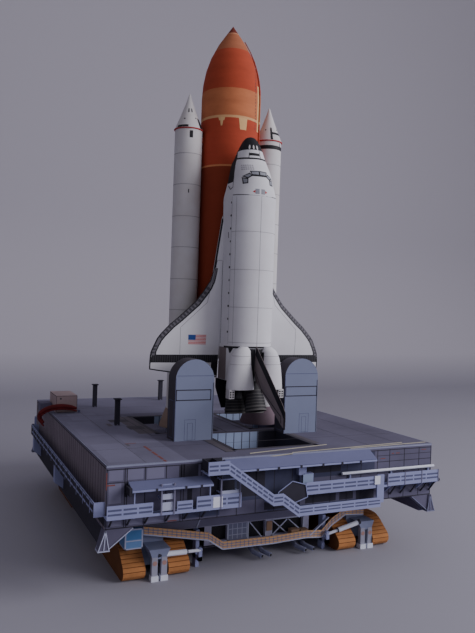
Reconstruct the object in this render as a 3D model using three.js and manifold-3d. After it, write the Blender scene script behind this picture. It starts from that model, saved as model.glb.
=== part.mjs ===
// A card display model of a space shuttle at 1:144, in millimetres with +Z up: the orbiter, its tank
// and two boosters stand on a launch platform, and the platform rides on a four-truck crawler.
// The origin is on the floor under the middle of the platform, and the orbiter faces -Y.
import * as THREE from 'three';
import { mergeVertices } from 'three/addons/utils/BufferGeometryUtils.js';
import Module from 'manifold-3d';

const wasm = await Module();
wasm.setup();

// Driving dimensions
const inch = 25.4 / 144;
const seat = 0.3;
const card = 0.8;

const deckTop = 97;
const deckPlate = 1;
const hullBottom = 52;
const hullHalf = { x: 145, y: 169 };

const stackBase = 2533;
const tankAxis = { x: 1, y: -30.6 };
const tankRadius = 161 * inch;
const boosterOffset = 42.6;

const orbiterStationShift = 741;
const orbiterHeightShift = 63.5;
const bodyHalf = 120;
const bodyBottom = 272;
const bodyShoulder = 390;
const bodyTop = 486;
const bodyEnd = 1513;
const bodySplit = 1335;
const wingBottom = 270;

const truckCentre = { x: 96.25, y: 97 };
const beltWidth = 17.5;
const beltGap = 18.5;
const beltLength = 90;
const beltHeight = 24;
const chassisTop = 46;
const chassisFront = 122;
const chassisFloor = 30;

const finishes = {
  rustFoam: { color: '#8d4a33', roughness: 0.9, metalness: 0 },
  greyCard: { color: '#c9c7c8', roughness: 0.8, metalness: 0 },
  skirtCard: { color: '#9a8672', roughness: 0.85, metalness: 0 },
  tileCard: { color: '#cdc5cb', roughness: 0.8, metalness: 0 },
  bellCard: { color: '#2a2a2e', roughness: 0.7, metalness: 0 },
  strutCard: { color: '#a0826c', roughness: 0.85, metalness: 0 },
  blueGreyCard: { color: '#8591a3', roughness: 0.85, metalness: 0 },
  deckCard: { color: '#a9afba', roughness: 0.85, metalness: 0 },
  railCard: { color: '#aab4c8', roughness: 0.85, metalness: 0 },
  tanCard: { color: '#b7a793', roughness: 0.85, metalness: 0 },
  redCard: { color: '#a63a2c', roughness: 0.8, metalness: 0 },
  chassisCard: { color: '#4e5561', roughness: 0.85, metalness: 0 },
  yellowCard: { color: '#d6a03c', roughness: 0.85, metalness: 0 },
  beltCard: { color: '#a8663f', roughness: 0.9, metalness: 0 },
  whiteCard: { color: '#dcdcdc', roughness: 0.8, metalness: 0 },
};

/** A closed geometry as a solid that can be joined and cut, turned so that its faces point out. */
function solidFrom(geometry) {
  const loose = geometry.index ? geometry.toNonIndexed() : geometry.clone();
  for (const name of Object.keys(loose.attributes)) {
    if (name !== 'position') loose.deleteAttribute(name);
  }
  const merged = mergeVertices(loose, 1e-4);
  const corners = [];
  const index = merged.index.array;
  for (let i = 0; i < index.length; i += 3) {
    const [a, b, c] = [index[i], index[i + 1], index[i + 2]];
    if (a !== b && b !== c && c !== a) corners.push(a, b, c);
  }
  const make = (triangles) => new wasm.Manifold(new wasm.Mesh({
    numProp: 3,
    vertProperties: new Float32Array(merged.attributes.position.array),
    triVerts: new Uint32Array(triangles),
  }));
  const solid = make(corners);
  return solid.volume() < 0 ? make(corners.reverse()) : solid;
}

/** The geometry of a solid. */
function geometryOf(solid) {
  const mesh = solid.getMesh();
  const geometry = new THREE.BufferGeometry();
  geometry.setAttribute('position', new THREE.BufferAttribute(new Float32Array(mesh.vertProperties), 3));
  geometry.setIndex(new THREE.BufferAttribute(new Uint32Array(mesh.triVerts), 1));
  return geometry;
}

/** Several solids joined into one. */
function join(solids) {
  return solids.reduce((whole, next) => whole.add(next));
}

/** A solid with others cut out of it. */
function cut(solid, tools) {
  return tools.reduce((rest, tool) => rest.subtract(tool), solid);
}

/** A box between two values on each axis. */
function box(x0, x1, y0, y1, z0, z1) {
  const geometry = new THREE.BoxGeometry(Math.abs(x1 - x0), Math.abs(y1 - y0), Math.abs(z1 - z0));
  return solidFrom(geometry.translate((x0 + x1) / 2, (y0 + y1) / 2, (z0 + z1) / 2));
}

/** A flat outline of [x, z] points, made as thick as y0 to y1. */
function frontPrism(outline, y0, y1) {
  const shape = new THREE.Shape(outline.map(([x, z]) => new THREE.Vector2(x, z)));
  const geometry = new THREE.ExtrudeGeometry(shape, { depth: Math.abs(y1 - y0), bevelEnabled: false });
  return solidFrom(geometry.rotateX(Math.PI / 2).translate(0, Math.max(y0, y1), 0));
}

/** A flat outline of [y, z] points, made as wide as x0 to x1. */
function sidePrism(outline, x0, x1) {
  const shape = new THREE.Shape(outline.map(([y, z]) => new THREE.Vector2(y, z)));
  const geometry = new THREE.ExtrudeGeometry(shape, { depth: Math.abs(x1 - x0), bevelEnabled: false });
  const turn = new THREE.Matrix4().set(0, 0, 1, Math.min(x0, x1), 1, 0, 0, 0, 0, 1, 0, 0, 0, 0, 0, 1);
  return solidFrom(geometry.applyMatrix4(turn));
}

/** A flat outline of [x, y] points, made as high as z0 to z1. */
function floorPrism(outline, z0, z1) {
  const shape = new THREE.Shape(outline.map(([x, y]) => new THREE.Vector2(x, y)));
  const geometry = new THREE.ExtrudeGeometry(shape, { depth: z1 - z0, bevelEnabled: false });
  return solidFrom(geometry.translate(0, 0, z0));
}

/** A round bar between two points. */
function bar(from, to, radius, sides = 10, endRadius = radius) {
  const [start, end] = [new THREE.Vector3(...from), new THREE.Vector3(...to)];
  const along = end.clone().sub(start);
  const geometry = new THREE.CylinderGeometry(endRadius, radius, along.length(), sides);
  const turn = new THREE.Quaternion().setFromUnitVectors(new THREE.Vector3(0, 1, 0), along.normalize());
  const middle = start.add(end).multiplyScalar(0.5);
  return solidFrom(geometry.applyQuaternion(turn).translate(middle.x, middle.y, middle.z));
}

/** A turned shape about an upright axis at x, y, from [radius, z] points that run upwards. */
function turned(profile, x, y, sides) {
  const points = profile.map(([radius, z]) => new THREE.Vector2(radius, z));
  const geometry = new THREE.LatheGeometry(points, sides);
  return solidFrom(geometry.rotateX(Math.PI / 2).translate(x, y, 0));
}

/** A skin over rings of equally many points, closed by a flat cap at each end. */
function loft(rings) {
  const count = rings[0].length;
  const positions = rings.flat().flatMap((point) => [point.x, point.y, point.z]);
  const index = [];
  for (let ring = 0; ring + 1 < rings.length; ring += 1) {
    for (let i = 0; i < count; i += 1) {
      const [a, b] = [ring * count + i, ring * count + (i + 1) % count];
      index.push(a, b, b + count, a, b + count, a + count);
    }
  }
  const last = (rings.length - 1) * count;
  for (let i = 1; i + 1 < count; i += 1) {
    index.push(0, i + 1, i, last, last + i, last + i + 1);
  }
  const geometry = new THREE.BufferGeometry();
  geometry.setAttribute('position', new THREE.BufferAttribute(new Float32Array(positions), 3));
  geometry.setIndex(index);
  return solidFrom(geometry);
}

const shuttle = new THREE.Group();
shuttle.name = 'space_shuttle';

/** A group that is the same outfit turned half round about the upright axis. */
const halfTurn = new THREE.Group();
halfTurn.scale.set(-1, -1, 1);
shuttle.add(halfTurn);

/** Adds a named piece to a group. */
function addPiece(name, solid, finish, group = shuttle) {
  const mesh = new THREE.Mesh(geometryOf(solid), new THREE.MeshStandardMaterial(finishes[finish]));
  mesh.name = name;
  group.add(mesh);
}

/** Height of a station of the stack, in real inches from ahead of the tank's tip. */
const stackHeight = (station) => deckTop + (stackBase - station) * inch;

/** Place of a point of the orbiter: station along it, side, and height above its own datum, in inches. */
function orbiterPoint(station, side, height) {
  return new THREE.Vector3(
    tankAxis.x + side * inch,
    tankAxis.y - (height - orbiterHeightShift) * inch,
    stackHeight(station + orbiterStationShift),
  );
}

// Tank: an arched nose, a straight barrel and a domed end
const tankStations = { tip: 322.5, spike: 340, cap: 371, shoulder: 745, barrelEnd: 2058, end: 2173 };
const noseArcRadius = 600;

/** Radius of the tank's arched nose at a station, in inches. */
function noseRadius(station) {
  const back = tankStations.shoulder - station;
  return tankRadius / inch - (noseArcRadius - Math.sqrt(noseArcRadius ** 2 - back ** 2));
}

/** The tank's outline from its lower end up, with every radius grown by some millimetres. */
function tankProfile(grow) {
  const profile = [[0, stackHeight(tankStations.end) - grow]];
  const domeSteps = 6;
  for (let step = 1; step < domeSteps; step += 1) {
    const angle = (step / domeSteps) * Math.PI / 2;
    const depth = (tankStations.end - tankStations.barrelEnd) * Math.cos(angle);
    profile.push([tankRadius * Math.sin(angle) + grow, stackHeight(tankStations.barrelEnd + depth)]);
  }
  profile.push([tankRadius + grow, stackHeight(tankStations.barrelEnd)]);
  const noseSteps = 9;
  for (let step = 0; step <= noseSteps; step += 1) {
    const station = tankStations.shoulder + (step / noseSteps) * (tankStations.cap - tankStations.shoulder);
    profile.push([noseRadius(station) * inch + grow, stackHeight(station)]);
  }
  profile.push([8 * inch + grow, stackHeight(tankStations.spike)]);
  profile.push([5 * inch + grow, stackHeight(tankStations.tip) + grow]);
  profile.push([0, stackHeight(tankStations.tip) + grow]);
  return profile;
}

// Each section of a booster from its lower end up; columns: station, radius, both in inches
const boosterRows = {
  skirt: [[2533, 108], [2520, 108], [2436, 77]],
  case: [[2436, 74], [940, 74]],
  nose: [[940, 74], [880, 52], [820, 29], [775, 13], [755, 7], [744, 3]],
};

/** A booster with the given rows of station and radius, with every radius grown by some millimetres. */
function boosterSolid(sign, rows, grow = 0) {
  const profile = rows.map(([station, radius]) => [radius * inch + grow, stackHeight(station)]);
  const closed = [[0, profile[0][1]], ...profile, [0, profile[profile.length - 1][1]]];
  return turned(closed, tankAxis.x + sign * boosterOffset, tankAxis.y, 32);
}

const tankFit = turned(tankProfile(seat), tankAxis.x, tankAxis.y, 40);
const boosterFit = [-1, 1].map((sign) => boosterSolid(sign, Object.values(boosterRows).flat(), seat));

/** Links that hold the boosters to the tank, cut to the boosters' round sides. */
function boosterLinks() {
  // Columns: station in inches, reach along y in mm, half height in mm
  const rows = [[985, 0, 2.4], [2040, 0, 1.2], [2040, 9, 1.0], [2040, -9, 1.0]];
  const [left, right] = [tankAxis.x - boosterOffset, tankAxis.x + boosterOffset];
  return rows.map(([station, away, half]) => {
    const [y, z] = [tankAxis.y + away, stackHeight(station)];
    return cut(box(left, right, y - half, y + half, z - half, z + half), boosterFit);
  });
}

function buildTank() {
  const shell = turned(tankProfile(0), tankAxis.x, tankAxis.y, 40);
  addPiece('tank_body', join([shell, ...boosterLinks()]), 'rustFoam');
}

/** A strip along the tank's nose and side, in the plane that holds the axis. */
function buildCableTray() {
  const half = 1.1;
  const [inner, outer] = [seat, 1.3];
  const [lower, upper] = [tankStations.barrelEnd - 40, 420];
  const stations = [lower, tankStations.shoulder];
  for (let step = 1; step <= 6; step += 1) {
    stations.push(tankStations.shoulder + (step / 6) * (upper - tankStations.shoulder));
  }
  const radiusAt = (station) => (station > tankStations.shoulder ? tankRadius : noseRadius(station) * inch);
  const inside = stations.map((station) => [radiusAt(station) + inner, stackHeight(station)]);
  const outside = stations.map((station) => [radiusAt(station) + outer, stackHeight(station)]);
  const strip = frontPrism([...inside, ...outside.reverse()], -half, half);
  const angle = -38;
  const placed = strip.rotate([0, 0, angle]).translate([tankAxis.x, tankAxis.y, 0]);
  addPiece('tank_cable_tray', placed, 'rustFoam');
}

/** The pipe down the tank's side, with its bend towards the orbiter at the foot. */
function buildFeedLine() {
  const radius = 1.5;
  const reach = tankRadius + seat + radius;
  const angle = -1.16;
  const [x, y] = [tankAxis.x + reach * Math.cos(angle), tankAxis.y + reach * Math.sin(angle)];
  const [top, foot] = [stackHeight(1140), stackHeight(2020)];
  const bellyY = orbiterPoint(0, 0, bodyBottom).y;
  const upright = bar([x, y, foot], [x, y, top], radius);
  const bend = bar([x, y, foot + radius], [x, bellyY + seat, foot + radius], radius);
  addPiece('tank_feed_line', join([upright, bend]), 'rustFoam');
}

function buildBoosters() {
  const boosterFinishes = { skirt: 'skirtCard', case: 'greyCard', nose: 'greyCard' };
  for (const [side, sign] of [['left', -1], ['right', 1]]) {
    for (const [section, rows] of Object.entries(boosterRows)) {
      addPiece(`booster_${side}_${section}`, boosterSolid(sign, rows), boosterFinishes[section]);
    }
  }
}

/** A ring of the orbiter's body: flat belly, round lower corners, upright sides and an arched top. */
function bodyRing(station, half, bottom, shoulder, top, round) {
  const points = [];
  const archSteps = 12;
  for (let step = 0; step <= archSteps; step += 1) {
    const angle = Math.PI * step / archSteps;
    points.push([half * Math.cos(angle), shoulder + (top - shoulder) * Math.sin(angle)]);
  }
  const [across, down] = [half * round, (shoulder - bottom) * round];
  const cornerSteps = 3;
  for (let step = 0; step <= cornerSteps; step += 1) {
    const angle = Math.PI + Math.PI / 2 * step / cornerSteps;
    points.push([-half + across + across * Math.cos(angle), bottom + down + down * Math.sin(angle)]);
  }
  for (let step = 0; step <= cornerSteps; step += 1) {
    const angle = Math.PI * 1.5 + Math.PI / 2 * step / cornerSteps;
    points.push([half - across + across * Math.cos(angle), bottom + down + down * Math.sin(angle)]);
  }
  return points.map(([side, height]) => orbiterPoint(station, side, height));
}

// Columns: station, half width, bottom, shoulder, top, roundness of the lower corners
const noseRows = [
  [262, 5, 328, 333, 338, 0.98],
  [266, 15, 317, 333, 350, 0.95],
  [278, 28, 303, 333, 366, 0.9],
  [300, 42, 290, 334, 384, 0.85],
  [335, 58, 281, 336, 402, 0.7],
  [372, 71, 275, 340, 412, 0.55],
  [404, 86, 273, 345, 421, 0.45],
  [455, 96, 272, 358, 458, 0.35],
  [500, 102, bodyBottom, 374, 474, 0.25],
  [545, 112, bodyBottom, 384, 482, 0.21],
  [582, bodyHalf, bodyBottom, bodyShoulder, bodyTop, 0.18],
];
const straightRow = [bodyHalf, bodyBottom, bodyShoulder, bodyTop, 0.18];

function buildOrbiterBody() {
  addPiece('orbiter_nose', loft(noseRows.map((row) => bodyRing(...row))), 'tileCard');
  // Columns: name, front station, rear station
  const spans = [['orbiter_midbody', 582, bodySplit], ['orbiter_aft_body', bodySplit, bodyEnd]];
  for (const [name, front, rear] of spans) {
    addPiece(name, loft([bodyRing(front, ...straightRow), bodyRing(rear, ...straightRow)]), 'tileCard');
  }
}

/** A chord of a wing: blunt nose, fullest at two fifths, flat underneath. */
function wingRing(side, lead, trail, thick) {
  // Columns: share of the chord, share of the thickness
  const outline = [
    [0, 0.3], [0.05, 0.72], [0.16, 0.95], [0.4, 1], [0.75, 0.62], [1, 0.16], [1, 0], [0.04, 0],
  ];
  return outline.map(([along, up]) => (
    orbiterPoint(lead + along * (trail - lead), side, wingBottom + up * thick)
  ));
}

function buildWings() {
  // Columns: side, leading edge, trailing edge, thickness
  const rows = [
    [bodyHalf, 671, 1512, 33], [137, 793, 1510, 32], [160, 958, 1507, 31],
    [176, 1010, 1506, 30], [190, 1030, 1505, 28], [214, 1068, 1503, 26], [255, 1122, 1499, 23],
    [338, 1198, 1489, 18], [386, 1238, 1482, 15], [430, 1284, 1476, 11], [451, 1311, 1473, 9],
    [467, 1346, 1470, 7], [481, 1378, 1468, 5], [486, 1420, 1467, 4],
  ];
  for (const [name, sign] of [['wing_left', -1], ['wing_right', 1]]) {
    const rings = rows.map(([side, lead, trail, thick]) => wingRing(sign * side, lead, trail, thick));
    addPiece(name, loft(rings), 'tileCard');
  }
}

/** The upright fin, thickest at its rudder's hinge. */
function buildFin() {
  // Columns: height, leading edge, hinge, trailing edge, half thickness
  const rows = [[bodyTop, 1336, 1456, 1508, 10], [772, 1586, 1634, 1686, 4], [797, 1616, 1650, 1697, 3]];
  const rings = rows.map(([height, lead, hinge, trail, half]) => [
    orbiterPoint(lead, -0.8, height), orbiterPoint(hinge, -half, height), orbiterPoint(trail, -1.5, height),
    orbiterPoint(trail, 1.5, height), orbiterPoint(hinge, half, height), orbiterPoint(lead, 0.8, height),
  ]);
  addPiece('fin', loft(rings), 'tileCard');
}

/** The two rear pods, cut to the body's shoulders and the upper engine, each with its small nozzle. */
function buildPods() {
  // Columns: station, side, height, half width, half height
  const rows = [
    [1338, 66, 476, 20, 16], [1352, 70, 475, 36, 30], [1375, 76, 474, 47, 40], [1420, 81, 474, 56, 47],
    [1480, 80, 474, 66, 52], [1530, 78, 474, 73, 55], [1548, 78, 474, 74, 55],
  ];
  const steps = 16;
  const fitRow = [bodyHalf + seat / inch, bodyBottom, bodyShoulder, bodyTop + seat / inch, 0.18];
  const fit = loft([bodyRing(bodySplit - 20, ...fitRow), bodyRing(bodyEnd, ...fitRow)]);
  const [wayStart, wayEnd] = [orbiterPoint(1445, 0, 440).toArray(), orbiterPoint(1600, 0, 484).toArray()];
  const engineWay = bar(wayStart, wayEnd, 40 * inch, 24);
  for (const [name, sign] of [['rear_pod_left', -1], ['rear_pod_right', 1]]) {
    const rings = rows.map(([station, side, height, wide, high]) => {
      const ring = [];
      for (let step = 0; step < steps; step += 1) {
        const angle = 2 * Math.PI * step / steps;
        ring.push(orbiterPoint(
          station, sign * (side + wide * Math.cos(angle)), height + high * Math.sin(angle),
        ));
      }
      return ring;
    });
    const root = orbiterPoint(1540, sign * 90, 480).toArray();
    const mouth = orbiterPoint(1592, sign * 94, 486).toArray();
    const nozzle = bar(root, mouth, 11 * inch, 16, 22 * inch);
    addPiece(name, join([cut(loft(rings), [fit, engineWay]), nozzle]), 'tileCard');
  }
}

/** A main engine's open bell, tilted about its pivot inside the body and trimmed flat to the body's end. */
function engineBell(pivotStation, side, height, tilt, exitRadius, length) {
  const pivot = orbiterPoint(pivotStation, side, height);
  const wall = 4.5;
  // Columns: distance below the pivot, outer radius
  const outer = [[40, 17], [66, 24], [95, 34], [140, 43], [length, exitRadius]];
  const inner = outer.filter(([down]) => down >= 95).map(([down, radius]) => [down, radius - wall]);
  const profile = [
    [0, -inner[0][0]], ...inner.map(([down, radius]) => [radius, -down]),
    ...outer.reverse().map(([down, radius]) => [radius, -down]), [0, -40],
  ].map(([radius, z]) => [radius * inch, z * inch]);
  const bell = turned(profile, 0, 0, 24).rotate([tilt, 0, 0]).translate([pivot.x, pivot.y, pivot.z]);
  const below = orbiterPoint(bodyEnd, 0, 0).z;
  return bell.intersect(box(-60, 60, -140, 0, 0, below));
}

function buildEngines() {
  // Columns: name, pivot station, side, height, tilt in degrees, exit radius, length below the pivot
  const rows = [
    ['main_engine_upper', 1445, 0, 440, -16, 52, 219],
    ['main_engine_left', 1468, -54, 340, -8, 52, 218],
    ['main_engine_right', 1468, 54, 340, -8, 52, 218],
  ];
  for (const [name, ...row] of rows) addPiece(name, engineBell(...row), 'bellCard');
  const flap = loft([-96, 96].map((side) => [
    orbiterPoint(bodyEnd, side, bodyBottom), orbiterPoint(bodyEnd, side, bodyBottom + 22),
    orbiterPoint(1650, side * 0.9, bodyBottom + 6), orbiterPoint(1650, side * 0.9, bodyBottom),
  ]));
  addPiece('body_flap', flap, 'tileCard');
}

/** The struts between the tank and the orbiter's belly. */
function buildStruts() {
  const belly = orbiterPoint(0, 0, bodyBottom).y;
  const trim = box(-60, 60, belly, 0, 0, 500);
  const frontZ = stackHeight(1129);
  const { x } = tankAxis;
  const foot = [x, belly - 1, frontZ + 1];
  const front = join([-1, 1].map((sign) => bar([x + sign * 8, tankAxis.y - 23, frontZ - 6], foot, 1.1)));
  const pad = box(x - 2.4, x + 2.4, belly, belly + 1.2, frontZ - 1.5, frontZ + 3.5);
  addPiece('front_strut', cut(join([front, pad]).intersect(trim), [tankFit]), 'strutCard');
  const rearZ = stackHeight(tankStations.barrelEnd - 6);
  for (const [name, sign] of [['rear_strut_left', -1], ['rear_strut_right', 1]]) {
    const side = x + sign * 13;
    const post = bar([side, belly - 1, rearZ], [side, tankAxis.y - 20, rearZ], 1.4);
    const brace = bar([side, belly + 1.2, rearZ], [side + sign * 8, tankAxis.y - 16, rearZ + 3], 1);
    addPiece(name, cut(join([post, brace]).intersect(trim), [tankFit]), 'strutCard');
  }
}

// Launch platform
const engineWell = { x0: -34, x1: 38, y0: -143, y1: -76 };
const boosterWell = { x0: 20, x1: 72, y0: -62, y1: 27 };
const haunch = { x0: 29, x1: 59.5, y0: -46, y1: -16 };
const skirt = { bottom: 36, thick: 6, reach: 162 };

/** The wells through the platform: one for the engines, and one under each booster with two haunches. */
function wells(z0, z1) {
  const well = boosterWell;
  const narrow = haunch;
  const outline = [
    [well.x0, well.y0], [well.x1, well.y0], [well.x1, narrow.y0], [narrow.x1, narrow.y0],
    [narrow.x1, narrow.y1], [well.x1, narrow.y1], [well.x1, well.y1], [well.x0, well.y1],
    [well.x0, narrow.y1], [narrow.x0, narrow.y1], [narrow.x0, narrow.y0], [well.x0, narrow.y0],
  ];
  const mirrored = outline.map(([x, y]) => [-x, y]).reverse();
  const middle = box(engineWell.x0, engineWell.x1, engineWell.y0, engineWell.y1, z0, z1);
  return [middle, floorPrism(outline, z0, z1), floorPrism(mirrored, z0, z1)];
}

function buildPlatform() {
  const { x, y } = hullHalf;
  const hull = box(-x, x, -y, y, hullBottom, deckTop - deckPlate);
  const skirts = [-1, 1].map((side) => (
    box(side * x, side * (x - skirt.thick), -skirt.reach, skirt.reach, skirt.bottom, hullBottom + 1)
  ));
  const walls = join([cut(hull, wells(hullBottom - 1, deckTop + 1)), ...skirts]);
  addPiece('platform_hull', walls, 'blueGreyCard');
  const plate = box(-x, x, -y, y, deckTop - deckPlate, deckTop);
  // Columns: x, y, top of the post
  const posts = [[-93, 102, 122], [93, 102, 122], [-98, -15, 122], [98, -15, 122], [-4.5, 141, 121]];
  const uprights = posts.map(([px, py, top]) => join([
    bar([px, py, deckTop - 0.5], [px, py, top], 1.4, 10),
    bar([px, py, deckTop - 0.5], [px, py, deckTop + 3], 2.8, 10, 1.4),
    bar([px, py, top - 1], [px, py, top], 2.2, 10),
  ]));
  addPiece('platform_deck', join([cut(plate, wells(0, deckTop + 1)), ...uprights]), 'deckCard');
}

/** The two arch-topped masts beside the orbiter's tail. */
function buildMasts() {
  const mast = { inner: 37, outer: 72, depth: 18, archZ: 148.5 };
  const middle = (mast.inner + mast.outer) / 2;
  const radius = (mast.outer - mast.inner) / 2;
  const outline = [[mast.inner, deckTop], [mast.outer, deckTop]];
  const archSteps = 14;
  for (let step = 0; step <= archSteps; step += 1) {
    const angle = Math.PI * step / archSteps;
    outline.push([middle + radius * Math.cos(angle), mast.archZ + radius * Math.sin(angle)]);
  }
  // Columns: name, side, front face
  for (const [name, sign, front] of [['tail_mast_left', -1, -102], ['tail_mast_right', 1, -94]]) {
    const placed = outline.map(([x, z]) => [sign * x, z]);
    addPiece(name, frontPrism(placed, front, front + mast.depth), 'blueGreyCard');
  }
}

/** The cabinet on the deck, and the duct that runs from it over the platform's side. */
function buildCabinet() {
  const [left, right, front, back, top] = [-138, -119, 70, 108, 113];
  addPiece('deck_cabinet', box(left, right, front, back, deckTop, top), 'tanCard');
  const radius = 1.7;
  const level = deckTop + radius + 0.2;
  const outside = -hullHalf.x - radius - 0.9;
  const route = [
    [left - radius - seat, 100, level], [-141, 92, level], [outside, 72, level], [outside, 54, level],
    [outside, 54, 85],
  ];
  const runs = route.slice(1).map((point, i) => bar(route[i], point, radius, 10));
  const bends = route.slice(1, -1).map((point) => (
    solidFrom(new THREE.SphereGeometry(radius, 10, 8).translate(...point))
  ));
  addPiece('deck_duct', join([...runs, ...bends]), 'redCard');
}

// Outfit of the platform's front face, used again turned half round for the back
const faceY = -hullHalf.y;
const railY = faceY - 9;
const stairY = faceY - 15;

/** A gangway along the front: a floor whose top is at one height, and an outer rail up to another. */
function gangway(x0, x1, floor, top, outer = railY) {
  return join([
    box(x0, x1, outer, faceY, floor - card, floor),
    box(x0, x1, outer, outer + card, floor - card, top),
  ]);
}

/** An open cage round a ladder: a floor, three hoops and two posts, standing off the face. */
function cage(x0, x1, bottom, top) {
  const outer = railY + 1;
  const pieces = [box(x0, x1, outer, faceY, bottom, bottom + card)];
  for (const z of [bottom, (bottom + top) / 2, top - card]) {
    pieces.push(box(x0, x1, outer, outer + card, z, z + card));
    for (const x of [x0, x1 - card]) pieces.push(box(x, x + card, outer, faceY, z, z + card));
  }
  for (const x of [x0, x1 - card]) pieces.push(box(x, x + card, outer, outer + card, bottom, top));
  return join(pieces);
}

/** A sloping roof along the face. */
function awning(x0, x1, outer, inner) {
  const reach = railY - 2;
  return sidePrism([[faceY, inner], [faceY, inner - card], [reach, outer - card], [reach, outer]], x0, x1);
}

/** A band of even height that follows [x, z] points, made as thick as y0 to y1. */
function band(points, lift, height, y0, y1) {
  const lower = points.map(([x, z]) => [x, z + lift]);
  const upper = points.map(([x, z]) => [x, z + lift + height]);
  return frontPrism([...lower, ...upper.reverse()], y0, y1);
}

/** The left half of a face: a gangway in lengths of unequal height, two cages and an awning. */
function buildFaceLeft(side, group) {
  // Columns: from x, to x, floor, rail top
  const rows = [
    [-146, -113, 62, 71], [-113, -95, 62, 63], [-95, -83, 62, 70], [-83, -80, 62, 63], [-80, -44, 62, 72],
  ];
  const lengths = rows.map((row) => gangway(...row));
  const cages = [cage(-107, -97, 61.5, 83), cage(-61, -45, 61.5, 83)];
  const roofPosts = [-127, -97.5, -70].map((x) => box(x, x + card, railY, railY + card, 61, 81));
  const outfit = [...lengths, ...cages, awning(-129, -68, 80.5, 84), ...roofPosts];
  addPiece(`face_gangway_left_${side}`, join(outfit), 'railCard', group);
}

/** The right half of a face: a gangway on brackets, a long awning, a ladder, a pipe and two boxes. */
function buildFaceRight(side, group) {
  // Columns: from x, to x, floor, rail top
  const rows = [[12, 84, 66, 75], [84, 91, 66, 67], [91, 146, 66.5, 76]];
  const lengths = rows.map((row) => gangway(...row));
  const brackets = [95, 112, 129, 144].map((x) => (
    sidePrism([[faceY, 66], [faceY, 58.5], [railY, 66]], x, x + card)
  ));
  const roofPosts = [-50, 10, 70].map((x) => (
    sidePrism([[faceY, 94.6], [faceY, 84], [railY, 89.6]], x, x + card)
  ));
  const roof = join([awning(-55, 78, 89, 95), ...roofPosts]);
  const ladder = box(80, 87, railY - card, railY + card, 53, 76);
  const boxes = [box(8, 15, faceY - 4, faceY, 80, 90), box(13, 21, faceY - 5, faceY, 65.5, 81)];
  const riser = box(11, 12.5, faceY - 2, faceY, 65.5, 94.6);
  const pipe = box(52, 145, faceY - 2.2, faceY - 0.6, 77, 78.4);
  const pipeFeet = [58, 100, 140].map((x) => box(x, x + 1.5, faceY - 1.5, faceY, 65.5, 78));
  const outfit = [...lengths, ...brackets, roof, ladder, ...boxes, riser, pipe, ...pipeFeet];
  addPiece(`face_gangway_right_${side}`, join(outfit), 'railCard', group);
}

/** The stairs down a face: a top landing, two flights with a landing between, and a long lower walk. */
function buildStairs(side, group) {
  const railHeight = 9;
  const treadWidth = 5;
  const top = gangway(-74, -57, 89, 98, stairY);
  const flights = [[[-57.5, 88.2], [-19.5, 61.2]], [[-11.5, 61.2], [3.5, 50.2]]];
  const rails = flights.map((points) => band(points, 0, railHeight, stairY, stairY + card));
  const treads = flights.map((points) => band(points, 0, card, stairY, stairY + treadWidth));
  const landing = gangway(-20, -11, 62, 70, stairY);
  const lower = gangway(3, 80, hullBottom, 59, stairY);
  const ledge = box(3, 80, faceY - 1, faceY + 4, hullBottom - card, hullBottom);
  addPiece(`stairs_${side}`, join([top, ...rails, ...treads, landing, lower, ledge]), 'railCard', group);
}

/** The gangway along a long side of the platform, closed at both ends, on brackets and two pedestals. */
function buildSideGangway(side, group) {
  const x = -hullHalf.x;
  const outer = x - 8;
  const [near, far] = [-168, 150];
  const [bottom, top] = [61.2, 71.5];
  const floor = box(outer, x, near, far, bottom, bottom + card);
  const rail = box(outer, outer + card, near, far, bottom, top);
  const ends = [near, far - card].map((y) => box(outer, x, y, y + card, bottom, top));
  const brackets = [-150, -90, -30, 30, 90, 130].map((y) => (
    frontPrism([[x, bottom], [outer + 1, bottom], [x, 55]], y, y + card)
  ));
  const pedestals = [-7, 131].map((y) => (
    frontPrism([[x, bottom], [outer, bottom], [outer, 46], [x, 40]], y - 4, y + 4)
  ));
  const outfit = [floor, rail, ...ends, ...brackets, ...pedestals];
  addPiece(`side_gangway_${side}`, join(outfit), 'railCard', group);
}

/** A fan-shaped pedestal under a corner of the platform, with a gusset on its inner side. */
function buildCornerPedestal(name, group, sign) {
  const [x, y] = [-hullHalf.x, sign * hullHalf.y];
  const [from, to] = sign < 0 ? [y - 1, -skirt.reach] : [skirt.reach, y + 1];
  const fan = [[x - 0.5, hullBottom], [x - 4.4, 38], [x + 3.4, 37.5], [x + 2, hullBottom]];
  const gusset = [[x + 1.5, hullBottom], [x + 3.2, 38.5], [x + 21, hullBottom]];
  const solids = [frontPrism(fan, from, to), frontPrism(gusset, from + 1, to - 1)];
  addPiece(name, join(solids), 'railCard', group);
}

// Crawler
/** The crawler's frame, with sunk windows in both ends and a jacking post at each corner. */
function buildChassis() {
  const core = box(-50, 50, -chassisFront, chassisFront, 12, chassisTop);
  const deck = box(-124, 124, -124, 124, chassisFloor, chassisTop);
  const recess = 4;
  // Columns: from x, to x, lower edge, upper edge of a window, seen from the front
  const windows = [[-43.7, -29.2, 16, 29], [-9.2, 6.6, 15, 29.5], [13.4, 44, 15.5, 28.5]];
  const sunk = windows.flatMap(([x0, x1, z0, z1]) => [
    box(x0, x1, -chassisFront - 1, recess - chassisFront, z0, z1),
    box(-x1, -x0, chassisFront - recess, chassisFront + 1, z0, z1),
  ]);
  const corners = [[-95, -95], [-95, 95], [95, -95], [95, 95]];
  const posts = corners.map(([x, y]) => bar([x, y, chassisTop - 1], [x, y, hullBottom], 9, 16));
  addPiece('crawler_chassis', join([cut(core, sunk), deck, ...posts]), 'chassisCard');
}

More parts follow.
